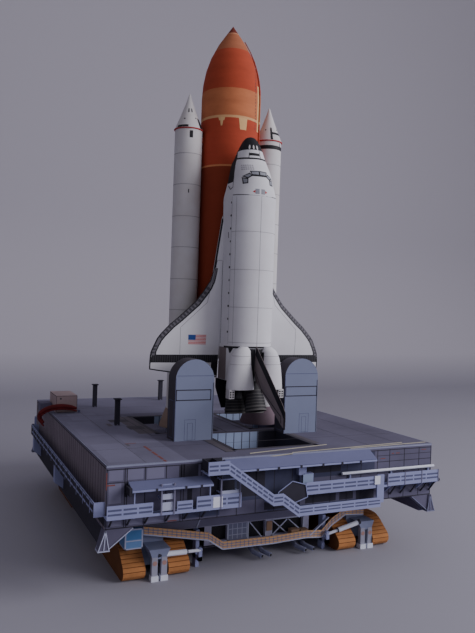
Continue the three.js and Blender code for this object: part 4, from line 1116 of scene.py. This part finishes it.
def build_hull():
    """Panel lines, pale panels, dark openings and red dashes on the platform's ends and long sides, with
    painted shade under its deck's edge, gangways and awnings, and painted light on its long sides.
    """
    pale = [(-143, -133, 86, 93.5), (-143, -133, 54, 60), (-130, -118, 86, 93.5),
            (-115.5, -102.5, 85.6, 93.5), (-130, -118, 54, 60.5), (-115.5, -102, 54, 60.5),
            (-100, -90.5, 54, 60.5), (-143, -134, 70, 84)]
    piece("hull_pale_panels", both_ends(prints(pale, 1, FRONT, -1, 0.05)), panel_blue)
    uprights = [-144.6, -131.8, -130.2, -117, -101.2, -89.6, -87.6, -74, -60, -44, -28, -12, 4, 24, 40,
                56, 70, 86.6, 99.2, 114.8, 130.8, 144]
    rows = row_of(uprights, 0.6, 52.5, 94.5) + [(-144.8, 144.8, 93.6, 94.3), (-144.8, 144.8, 52, 52.8)]
    rows += [(-144.8, -88, 84.4, 84.9), (86, 144.8, 84, 84.5), (86, 144.8, 89.2, 89.6)]
    # Dark openings, and dark blocks under the deck's edge by the landing and under the gangways, which are
    # painted shade.
    rows += [(-91, -76, 85, 93.5), (-66, -56.5, 63, 93), (-84.2, -80.4, 63, 80), (-43, -20, 66, 88),
             (-57, -46, 72.4, 80.5), (17, 46, 55.6, 65.4), (49.5, 63, 55.6, 65.4), (66, 84, 54.6, 65.4),
             (-131.6, -129.4, 74, 84), (12, 50, 79.5, 86), (92, 94, 60, 66), (-20, 12, 54, 60)]
    piece("hull_dark_print_and_painted_shade", both_ends(prints(rows, 1, FRONT)), shade_blue)
    # Darker blue-grey over the middle of the ends, under the awnings, stairs and gangways: painted shade
    # along with their dark print.
    mid = [(-56, 16, 63, 93), (22, 84, 76, 93.4), (-88, -58, 54, 62), (-17, 84, 53, 55)]
    piece("hull_mid_print_and_painted_shade", both_ends(prints(mid, 1, FRONT, -1, 0.06)), hull_shade_blue)
    red_rows = [(-144.4, -138.5, 82.6, 83.5), (-142, -136, 66.8, 67.6), (-144.9, -144.3, 80, 92),
                (101.5, 104, 90.4, 91.1), (106, 110, 90.4, 91.1), (134, 139, 92, 92.6), (90, 95, 86.6, 87.2),
                (-99, -92, 53.2, 54)]
    piece("hull_red_print", both_ends(prints(red_rows, 1, FRONT, -1, 0.12)), line_red)
    # The long sides are paler and browner than the ends: painted light.
    wall = both_ends(prints([(-168.8, 168.8, 52.2, 95.6)], 0, HULL_SIDE, -1, 0.04))
    piece("hull_side_wall_painted_light", wall, side_brown)
    side = row_of(np.arange(-163, 168, 8.6), 0.8, 52.4, 95.4) + [(-168.8, 168.8, 94.4, 95.2)]
    side += [(-168.8, 168.8, 54, 60.6)]
    piece("hull_side_print", both_ends(prints(side, 0, HULL_SIDE)), shade_blue)
    skirt = [(-162, 162, 36.4, 51.6)]
    piece("hull_skirt_print", both_ends(prints(skirt, 0, HULL_SIDE, -1, 0.12)), shade_blue)


def rail_slots(start, end, low, high, level, bay=12.5):
    """The dark slots between the bars of a level rail, broken by its posts."""
    edges = np.linspace(start, end, max(1, round((end - start) / bay)) + 1)
    spans = list(zip(edges[:-1] + 0.7, edges[1:] - 0.7))
    rise = high - low
    rows = [(near, far, low + share * rise, low + (share + 0.15) * rise)
            for near, far in spans for share in (0.24, 0.58)]
    return prints(rows, 1, level)


def slope_slots(start, end, high, level, bay=6.0):
    """The same on a rail that climbs along its foot from start to end, each an x, z pair."""
    start, end = np.array(start, float), np.array(end, float)
    count = max(1, round(float(np.hypot(*(end - start))) / bay))
    rows = []
    for k in range(count):
        near, far = (start + (end - start) * (k + part) / count for part in (0.1, 0.9))
        for share in (0.3, 0.66):
            rows.append((near[0], level, near[1] + share * high, far[0], level, far[1] + share * high))
    return bars(rows, 0.14 * high, 0.2, (0, 0, 1))


def build_gangways():
    """Slotted rails, pale panels and posts of the gangways, and the awnings' pale lips and dark clamps."""
    rails = [(-146, -113, 62, 71), (-113, -95, 62, 63.4), (-95, -83, 62, 70), (-80, -44, 62, 72),
             (12, 84, 66, 75), (91, 146, 66.5, 76)]
    slots = [rail_slots(x0, x1, z0, z1, RAILS) for x0, x1, z0, z1 in rails if z1 - z0 > 3]
    gaps = prints([(-168, 150, 61.2, 71.4)], 0, SIDE_RAILS, -1, 0.1)
    dashes = [(y, y + 9, z, z + 1.5) for y in np.arange(-166, 140, 12.0) for z in (64.4, 69.6)]
    dashes += row_of(np.arange(-157, 148, 24.0), 1.2, 61.4, 71.2)
    piece("gangway_side_bars", both_ends(prints(dashes, 0, SIDE_RAILS, -1, 0.2)), rail_blue)
    piece("gangway_slots", both_ends(*slots), slot_blue)
    piece("gangway_side_gaps", both_ends(gaps), shade_blue)
    cages = [(-106.2, -97.8, 64, 70), (-60, -46, 66, 69.6), (-60, -46, 71, 74.4), (-106.2, -97.8, 72, 76)]
    piece("cage_panels", both_ends(prints(cages, 1, RAILS + 1, -1, 0.2)), edge_blue)
    roofs = [bars([(-129, -174.5, 82.8, -68, -174.5, 82.8)], 11.4, 0.5, (0, 1, 0.32)),
             bars([(-55, -174.5, 92.6, 78, -174.5, 92.6)], 12.4, 0.5, (0, 1, 0.545))]
    piece("awning_tops", both_ends(*roofs), awning_blue)
    lips = [(-129, -68, RAILS - 2.3, RAILS - 1.8, 79.6, 81), (-55, 78, RAILS - 2.3, RAILS - 1.8, 88.1, 89.4)]
    posts = [(x, x + 1.1, RAILS - 0.4, RAILS + 1, 61.5, 83.4) for x in (-107.4, -97.8, -61.4, -46)]
    posts += [(x, x + 0.8, RAILS - 0.3, RAILS + 0.4, 65.5, 76.4) for x in (91, 109, 127, 145)]
    piece("gangway_posts", both_ends(slabs(posts)), panel_blue)
    piece("gangway_lips", both_ends(slabs(lips)), rail_blue)
    clamps = [(x, x + 1.6, RAILS - 2.7, RAILS - 1.7, 87.6, 89.7) for x in (-33, -15, 5, 25, 43, 61)]
    clamps += [(x, x + 1.4, RAILS - 2.7, RAILS - 1.7, 79.2, 81.3) for x in (-112, -90, -78)]
    clamps += [(-131, -129, RAILS - 2, FRONT, 77, 82.6)]
    clamps += [(x, x + 0.9, FRONT - 2.5, FRONT - 0.5, 76.6, 78.8) for x in (94, 124)]
    ball = lathe([(0, 64.6), (1.2, 65), (1.8, 66.4), (1.2, 67.8), (0, 68.2)], 148, RAILS + 3, 16)
    piece("gangway_clamps", both_ends(slabs(clamps), ball), shade_blue)
    pipe = tube([(50, FRONT - 2, 77.6), (146, FRONT - 2, 77.7)], 1.25, 16)
    squares = prints([(-67, -59.5, 62.8, 70.6)], 1, RAILS, -1, 0.14)
    boxes = slabs([(77.5, 83, RAILS - 0.9, RAILS, 68.4, 75.4)])
    piece("gangway_white_parts", both_ends(pipe, squares, boxes), plain_white)
    brackets = [[x, FRONT, 56, x, RAILS + 1, 65.6] for x in (90, 101, 112, 123, 134, 143)]
    brackets += [[x, FRONT, 54, x, RAILS + 1, 61.6] for x in (-142, -129, -116, -100, -86, -72)]
    piece("gangway_brackets", both_ends(bars(brackets, 1.0, 0.9, (1, 0, 0))), shade_blue)
    riser = prints([(11.4, 20.6, 66, 80.6)], 1, FRONT - 5.0, -1, 0.1)
    piece("riser_panel", both_ends(riser), well_blue)


def build_stairs():
    """Slots along the stairs' rails, painted shade inside the top landing, and a lattice landing."""
    slots = [slope_slots((-57, 88.6), (-20, 61.9), 9, STAIRS),
             slope_slots((-11, 61.2), (3.2, 50.8), 9, STAIRS),
             rail_slots(-74, -57, 89, 98, STAIRS, 9),
             rail_slots(-20, -11, 62, 70, STAIRS, 9),
             rail_slots(3, 80, 52, 59, STAIRS)]
    piece("stair_slots", both_ends(*slots), slot_blue)
    # The inside walls of the top landing in dark blue: painted shade.
    inner = [(-74, -73.2, STAIRS + 1, FRONT - 2, 90, 98), (-66, -65.2, STAIRS + 2, FRONT - 2, 90, 98),
             (-73, -58, FRONT - 2.4, FRONT - 1.4, 89.8, 97.8)]
    piece("landing_painted_shade", both_ends(slabs(inner)), shade_blue)
    peak = [(-15, 61.5), (-13, 70), (-1, 77.5), (11, 74), (13, 64), (0, 60)]
    y = RAILS - 1.0
    rows = [(x0, y, z0, x1, y, z1) for (x0, z0), (x1, z1) in zip(peak, peak[1:] + peak[:1])]
    piece("lattice_landing", both_ends(bars(rows, 0.6, 0.6)), rail_blue)
    corners = np.array([(x, y + 0.5, z) for x, z in peak], float)
    plate = closed(np.stack([corners - [0, 0.1, 0], corners], 1))
    piece("lattice_plate", both_ends(plate), shade_blue)


def build_pedestals():
    """Pale ribs on each corner pedestal: three that fan out to its foot plate, and one to its side."""
    for sign, end in ((-1, "near"), (1, "far")):
        y = sign * 166.5
        rows = []
        for dy in (-3.6, 3.6):
            top = (-144.4, y + dy, 51.8)
            rows += [[*top, x, y + dy, 38] for x in (-149.2, -145.4, -141.8)]
            rows.append([-141.8, y + dy * 0.8, 38.4, -124.6, y + dy * 0.8, 51.6])
        plates = [(-149.8, -141.2, y - 4, y + 4, 37.1, 37.8)]
        finish = edge_blue if sign < 0 else lattice_blue
        piece(f"pedestal_{end}_ribs", both_ends(bars(rows, 0.6, 0.6), slabs(plates)), finish)


# Crawler: chassis, trucks, belts, walkways and cabs

# The chassis' front face, and its openings as rows for prints
CHASSIS_FRONT = -122.0
WINDOWS = [(-43.7, -29.2, 16, 29), (-9.2, 6.6, 15, 29.5), (13.4, 44, 15.5, 28.5)]


def build_chassis():
    """The chassis ends: black painted shade behind its openings, inside it and along its sides, a darker band
    of painted shade on its upper edge, a lattice panel, pale frames and braces, and a few tan boxes.
    """
    # Black sheets behind the openings, under the front, inside the chassis and on its sides under the hull:
    # painted shade.
    backs = prints(WINDOWS, 1, CHASSIS_FRONT + 4, -1, 0.3)
    under = prints([(-50, 50, 12.2, 13.4)], 1, CHASSIS_FRONT)
    deck_edge = prints([(-124, 124, 30.4, 45.6)], 1, -124.0)
    side = prints([(-122, 122, 12.4, 45.6)], 0, -50.0)
    edge = prints([(-124, 124, 30.4, 45.6)], 0, -124.0)
    piece("chassis_openings_painted_shade", both_ends(backs, under, side, edge), black)
    # A darker blue on the chassis' upper edge, under the hull: painted shade.
    piece("chassis_edge_painted_shade", both_ends(deck_edge), panel_blue)
    frames = borders([(x0 - 1.2, x1 + 1.2, z0 - 1.2, z1 + 1.2) for x0, x1, z0, z1 in WINDOWS], 1.2)
    y = CHASSIS_FRONT - 0.4
    braces = [[-8.6, y, 29, 3, y, 15.6], [13.6, y, 28, 27.6, y, 16], [27.6, y, 28, 13.6, y, 16],
              [28.4, y, 28.4, 28.4, y, 15.6], [29, y, 28, 43, y, 16]]
    struts = [[-52, y - 1, 44, -58, y - 1, 30], [46, y - 8, 14.5, 65, y - 8, 28.5]]
    shapes = [prints(frames, 1, CHASSIS_FRONT), bars(braces, 0.9, 0.7, (0, 0, 1)),
              bars(struts, 2.4, 0.9, (0, 1, 0))]
    piece("chassis_frames", both_ends(*shapes), edge_blue)
    plate = prints([(-28, -10.4, 15, 30)], 1, CHASSIS_FRONT)
    piece("chassis_panel", both_ends(plate), lattice_blue)
    rows = row_of(np.arange(-24.6, -11, 4.4), 0.5, 16.4, 29)
    rows += [(-27.6, -10.8, z, z + 0.5) for z in (19.6, 24.6)]
    lattice = prints(rows, 1, CHASSIS_FRONT, -1, 0.14)
    piece("chassis_lattice", both_ends(lattice), edge_blue)
    tan = [(7.4, 12.6, y - 0.8, y, 20, 28), (29, 37, y - 6, y, 13.6, 20), (38.6, 46, y - 6, y, 13.2, 19)]
    piece("chassis_tan_boxes", both_ends(slabs(tan)), strut_tan)
    pipes, mouths = [], []
    for x, turn in ((-6, -8), (2, -6), (36, -8), (44, -6)):
        path = [(x, -118, 6.5), (x + turn * 0.2, -128, 5.6), (x + 3, -136, 4.2)]
        pipes.append(tube(path, 1.9))
        mouths.append(tube([path[2], np.array(path[2]) + [0.12, -0.3, -0.05]], 1.3))
    piece("exhaust_pipes", both_ends(*pipes), lattice_blue)
    piece("exhaust_mouths", both_ends(*mouths), black)


# Columns: name, side, inner leg, the feet's places out and back, the cylinder's low end, its eye out and up
TRUCKS = [("left", -1, 57.0, -0.8, 5.0, 15.5, 94.5, 19.0), ("right", 1, 60.0, 3.0, 9.0, 14.5, 91.5, 23.0)]


def truck_piece(name, side, part, shapes, finish, replaced=()):
    """A piece of a right-hand truck's shapes, turned to its side, at both ends of the model."""
    points, faces = merge(shapes)
    piece(f"truck_{name}_{part}", both_ends((points * [side, 1, 1], faces)), finish, replaced)


def build_trucks():
    """Trucks between the belts: a slate frame and bracket, a leg, two jack feet, and a white cylinder."""
    for name, side, leg, out, back, low, eye, high in TRUCKS:
        truck_piece(name, side, "frames", [slabs([(87, 105.5, -126, -61, 6, 30)])], truck_slate,
                    [f"truck_front_{name}", f"truck_back_{name}"])
        plates = [(-129, -122, 0, 30), (-136, -122, 7, 10.5), (-136, -133, 7, 17.5)]
        truck_piece(name, side, "legs", [slabs([(leg, leg + 3, *plate) for plate in plates])], rail_blue)
        front = back - 149.0
        corners = [(87.5, 24), (104.5, 24), (101.6, 16.5), (91.4, 16.5)]
        bracket = np.array([[(x + out, y, z) for y in (front, -125)] for x, z in corners])
        truck_piece(name, side, "bracket", [closed(bracket)], truck_slate)
        places = (92.4 + out, 100 + out)
        posts = bars([[x, front + 1.5, 4, x, front + 1.5, 18] for x in places], 4.4, 3.6, (1, 0, 0))
        feet = slabs([(x - 2.3, x + 2.3, front - 0.5, front + 3.6, 4, 16) for x in places])
        truck_piece(name, side, "feet", [posts, feet], foot_grey)
        blocks = slabs([(x - 2.9, x + 2.9, front - 1.6, front + 4.4, 0, 4) for x in places])
        foot, head = np.array([leg, -134.5, low]), np.array([eye, front + 2.2, high])
        reach = [foot + share * (head - foot) for share in (0, 0.36, 0.385, 0.45, 0.99, 1, 1.06)]
        rod, cylinder = tube([reach[0], reach[3]], 1.3, 16), tube([reach[2], reach[5]], 2.1, 18)
        truck_piece(name, side, "white_parts", [blocks, rod, cylinder], plain_white)
        collar, knuckle = tube([reach[1], reach[2]], 2.2, 16), tube([reach[4], reach[6]], 2.4, 16)
        truck_piece(name, side, "joints", [collar, knuckle], shade_blue)
        points, faces = lathe([(0, 0), (1.8, 0), (1.8, 0.3), (0, 0.3)], 0, 0, 18)
        rounds = [(points[:, [0, 2, 1]] * [1, -1, 1] + [x, front - 0.4, 13.6], faces) for x in places]
        truck_piece(name, side, "rounds", rounds, foot_pink)


# A front belt: its middle along y, the height of its hub, its own height and width, and its shoes
BELT_MIDDLE, BELT_HUB, BELT_HIGH, BELT_WIDE = -97.05, 11.0, 24.0, 17.5
SHOES = 52


def belt_loop():
    """A belt's outline, a y and z for each of four corners of every shoe, and which faces are gaps."""
    rows = [(36, 0), (41.5, 1.2), (44.4, 4.4), (45, 8), (43.4, 11.2), (31, 20.6), (26, 23.2), (22, 24)]
    corners = np.array(rows + [(-y, z) for y, z in rows[::-1]] + rows[:1], float)
    steps = np.concatenate([[0], np.cumsum(np.hypot(*np.diff(corners, axis=0).T))])
    places = (np.arange(SHOES)[:, None] + np.array([0, 0.08, 0.78, 0.86])).ravel() / SHOES * steps[-1]
    low = np.tile([0.4, 0, 0, 0.4], SHOES)
    y, z = (np.interp(places, steps, corners[:, i]) for i in (0, 1))
    away = np.hypot(y, z - BELT_HIGH / 2)
    y, z = y - low * y / away, z - low * (z - BELT_HIGH / 2) / away
    return BELT_MIDDLE + y, np.maximum(z, 0.0), np.tile([False, False, False, True], SHOES)


def build_belts():
    """Belts of ribbed card: orange-brown shoes with dark gaps, and dark sides."""
    y, z, gap = belt_loop()
    whole = np.ones(len(gap), bool)
    dark = np.tile(np.stack([whole, gap, whole], 1).ravel(), 2)
    for name, near in (("outer", 105.5), ("inner", 69.5)):
        for side, sign in SIDES:
            sides = sorted((sign * near, sign * (near + BELT_WIDE)))
            hubs = [np.tile([x, BELT_MIDDLE, BELT_HUB], (len(y), 1)) for x in sides]
            rims = [np.stack([np.full(len(y), x), y, z], -1) for x in sides]
            shape = grid(np.stack([hubs[0], *rims, hubs[1]], 1), loop=True)
            nodes = [f"belt_{end}_{side}_{name}" for end in ("front", "back")]
            piece(f"belt_{side}_{name}_loop", both_ends(shape), belt_orange, nodes,
                  dark=belt_dark, pick=dark)


# The walkway's foot along the front, by x and z, and the place of its printed face
WALK_PATH = [(-105, 31.8), (-50, 21), (-37, 12), (10, 11.3), (42, 12.5), (58, 11.2), (68, 20.6), (82, 28.4),
             (102, 27)]
WALK_FACE = -131.4


def build_walkway():
    """The walkway's print: a pale lower edge, two grey lines along it and grey posts."""
    grey, pale = [], []
    for start, end in zip(WALK_PATH, WALK_PATH[1:]):
        start, end = np.array(start), np.array(end)
        for share in (2.6, 4.6):
            grey.append([start[0], WALK_FACE, start[1] + share, end[0], WALK_FACE, end[1] + share])
        pale.append([start[0], WALK_FACE, start[1] + 0.5, end[0], WALK_FACE, end[1] + 0.5])
        count = max(2, round(float(np.hypot(*(end - start))) / 4))
        for k in range(count):
            x, z = start + (end - start) * k / count
            grey.append([x, WALK_FACE, z + 1, x + 0.01, WALK_FACE, z + 6.2])
    piece("walkway_grey_print", both_ends(bars(grey, 0.7, 0.2, (1, 0, 0.9))), walk_grey)
    piece("walkway_edge", both_ends(bars(pale, 1.0, 0.24, (0, 0, 1))), edge_blue)


def build_cabs():
    """Cabs with a pale frame round the front, a bright window above and a panel below."""
    frames = borders([(-122, -108, 25, 40.5)], 0.9) + [(-121, -109, 31, 31.8)]
    shapes = [prints(frames, 1, -140.0, -1, 0.12), prints(borders([(-140, -124, 25, 40.5)], 0.8), 0, -122.0)]
    piece("cab_frames", both_ends(*shapes), edge_blue)
    piece("cab_windows", both_ends(prints([(-120.4, -109.6, 32.4, 39)], 1, -140.0)), cab_window)


def dress_frame():
    """Gives the nodes that keep their CAD shape their printed finishes, by the start of their names."""
    finishes = {
        "platform_hull": hull_blue, "platform_deck": deck_slate, "tail_mast": mast_blue, "tank_": foam,
        "front_strut": strut_tan, "rear_strut": strut_tan, "face_gangway": rail_blue, "stairs": rail_blue,
        "side_gangway": rail_blue, "corner_pedestal": hull_blue, "crawler_chassis": chassis_grey,
        "walkway": walk_yellow, "cab_": cab_blue,
    }
    for name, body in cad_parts.items():
        for start, finish in finishes.items():
            if name.startswith(start):
                for place in body.material_slots:
                    place.material = finish


build_tank()
build_boosters()
build_body()
build_nose_marks()
build_body_marks()
build_wings()
build_wing_marks()
build_fin()
build_pods()
build_engines()
build_flap()
build_masts()
build_deck()
build_cabinet()
build_hull()
build_gangways()
build_stairs()
build_pedestals()
build_chassis()
build_trucks()
build_belts()
build_walkway()
build_cabs()
dress_frame()


# Stage: a pale floor and backdrop, a camera where the photograph's stood, and soft studio light

# The camera that the photograph was solved for: its place in metres, its heading, pitch and roll in
# radians, its sensor in mm, and its focal length and the photograph's height in pixels
CAMERA_PLACE = (-0.257295, -0.619338, 0.208003)
HEADING, PITCH, ROLL = 0.4346, -0.0082, 0.0335
SENSOR, FOCAL_PIXELS, PHOTO_PIXELS = 36, 654.91, 633


def build_stage():
    """A floor that runs forward, and a wall behind it, joined by a wide bend as a paper sweep is."""
    paper = card("backdrop_paper", "#8f8e9c", "#888794", 0.9, 0.4, 3.0)
    tree = paper.node_tree
    # The paper turns paler from the floor up onto the bend and wall: painted light.
    level = node(tree, "SeparateXYZ", {"Vector": node(tree, "TexCoord").outputs["Object"]}).outputs["Z"]
    climb = node(tree, "MapRange", {"Value": level, "From Min": -0.03, "From Max": 0.08})
    colour = tree.nodes["Principled BSDF"].inputs["Base Color"]
    inks = colour.links[0].from_socket
    tree.links.new(mix(tree, climb.outputs["Result"], inks, linear("#bbb8c4")), colour)
    across = np.linspace(-5000, 5000, 9)
    bend = np.linspace(0, np.pi / 2, 16)[1:]
    back = np.concatenate([np.linspace(-4000, 900, 8), 900 + 500 * np.sin(bend), [1400]])
    height = np.concatenate([np.zeros(8), 500 * (1 - np.cos(bend)), [4000]])
    x, row = np.meshgrid(across, np.arange(len(back)), indexing="ij")
    shape = grid(np.stack([x, back[row], height[row]], -1))
    made = add_object("floor", smooth_mesh("floor", shape, paper))


def build_camera():
    """A camera at the photograph's place, with its heading, its slight pitch and its roll."""
    flat = math.cos(PITCH)
    ahead = Vector((math.sin(HEADING) * flat, math.cos(HEADING) * flat, math.sin(PITCH)))
    level = Vector((math.cos(HEADING), -math.sin(HEADING), 0))
    upright = level.cross(ahead)
    right = math.cos(ROLL) * level + math.sin(ROLL) * upright
    top = math.cos(ROLL) * upright - math.sin(ROLL) * level
    data = bpy.data.cameras.new("camera")
    data.sensor_width = SENSOR
    data.lens = FOCAL_PIXELS * SENSOR / PHOTO_PIXELS
    camera = add_object("camera", data)
    turned = Matrix((right, top, -ahead)).transposed().to_4x4()
    camera.matrix_world = Matrix.Translation(CAMERA_PLACE) @ turned
    bpy.context.scene.camera = camera


def build_light():
    """A room that is bright to the right and dim to the left, with one big lamp at the front right."""
    world = bpy.data.worlds.new("soft_room")
    bpy.context.scene.world = world
    world.use_nodes = True
    tree = world.node_tree
    toward = node(tree, "TexCoord").outputs["Generated"]
    facing = node(tree, "VectorMath", {0: toward, 1: (0.74, -0.62, 0.25)}, operation="DOT_PRODUCT")
    level = node(tree, "MapRange", {"Value": facing.outputs["Value"], "From Min": -1.0, "From Max": 1.0,
                                    "To Min": 0.28, "To Max": 0.97})
    tree.links.new(level.outputs["Result"], tree.nodes["Background"].inputs["Strength"])
    tree.nodes["Background"].inputs["Color"].default_value = (0.53, 0.51, 0.55, 1)
    data = bpy.data.lights.new("key", "AREA")
    data.shape = "DISK"
    data.size = 1.0
    data.energy = 17.0
    data.color = (1.0, 0.985, 1.0)
    lamp = add_object("key", data)
    place = Vector((1.05, -0.95, 0.75))
    aim = Vector((0, 0, 0.2)) - place
    lamp.matrix_world = Matrix.Translation(place) @ aim.to_track_quat("-Z", "Y").to_matrix().to_4x4()


build_stage()
build_camera()
build_light()
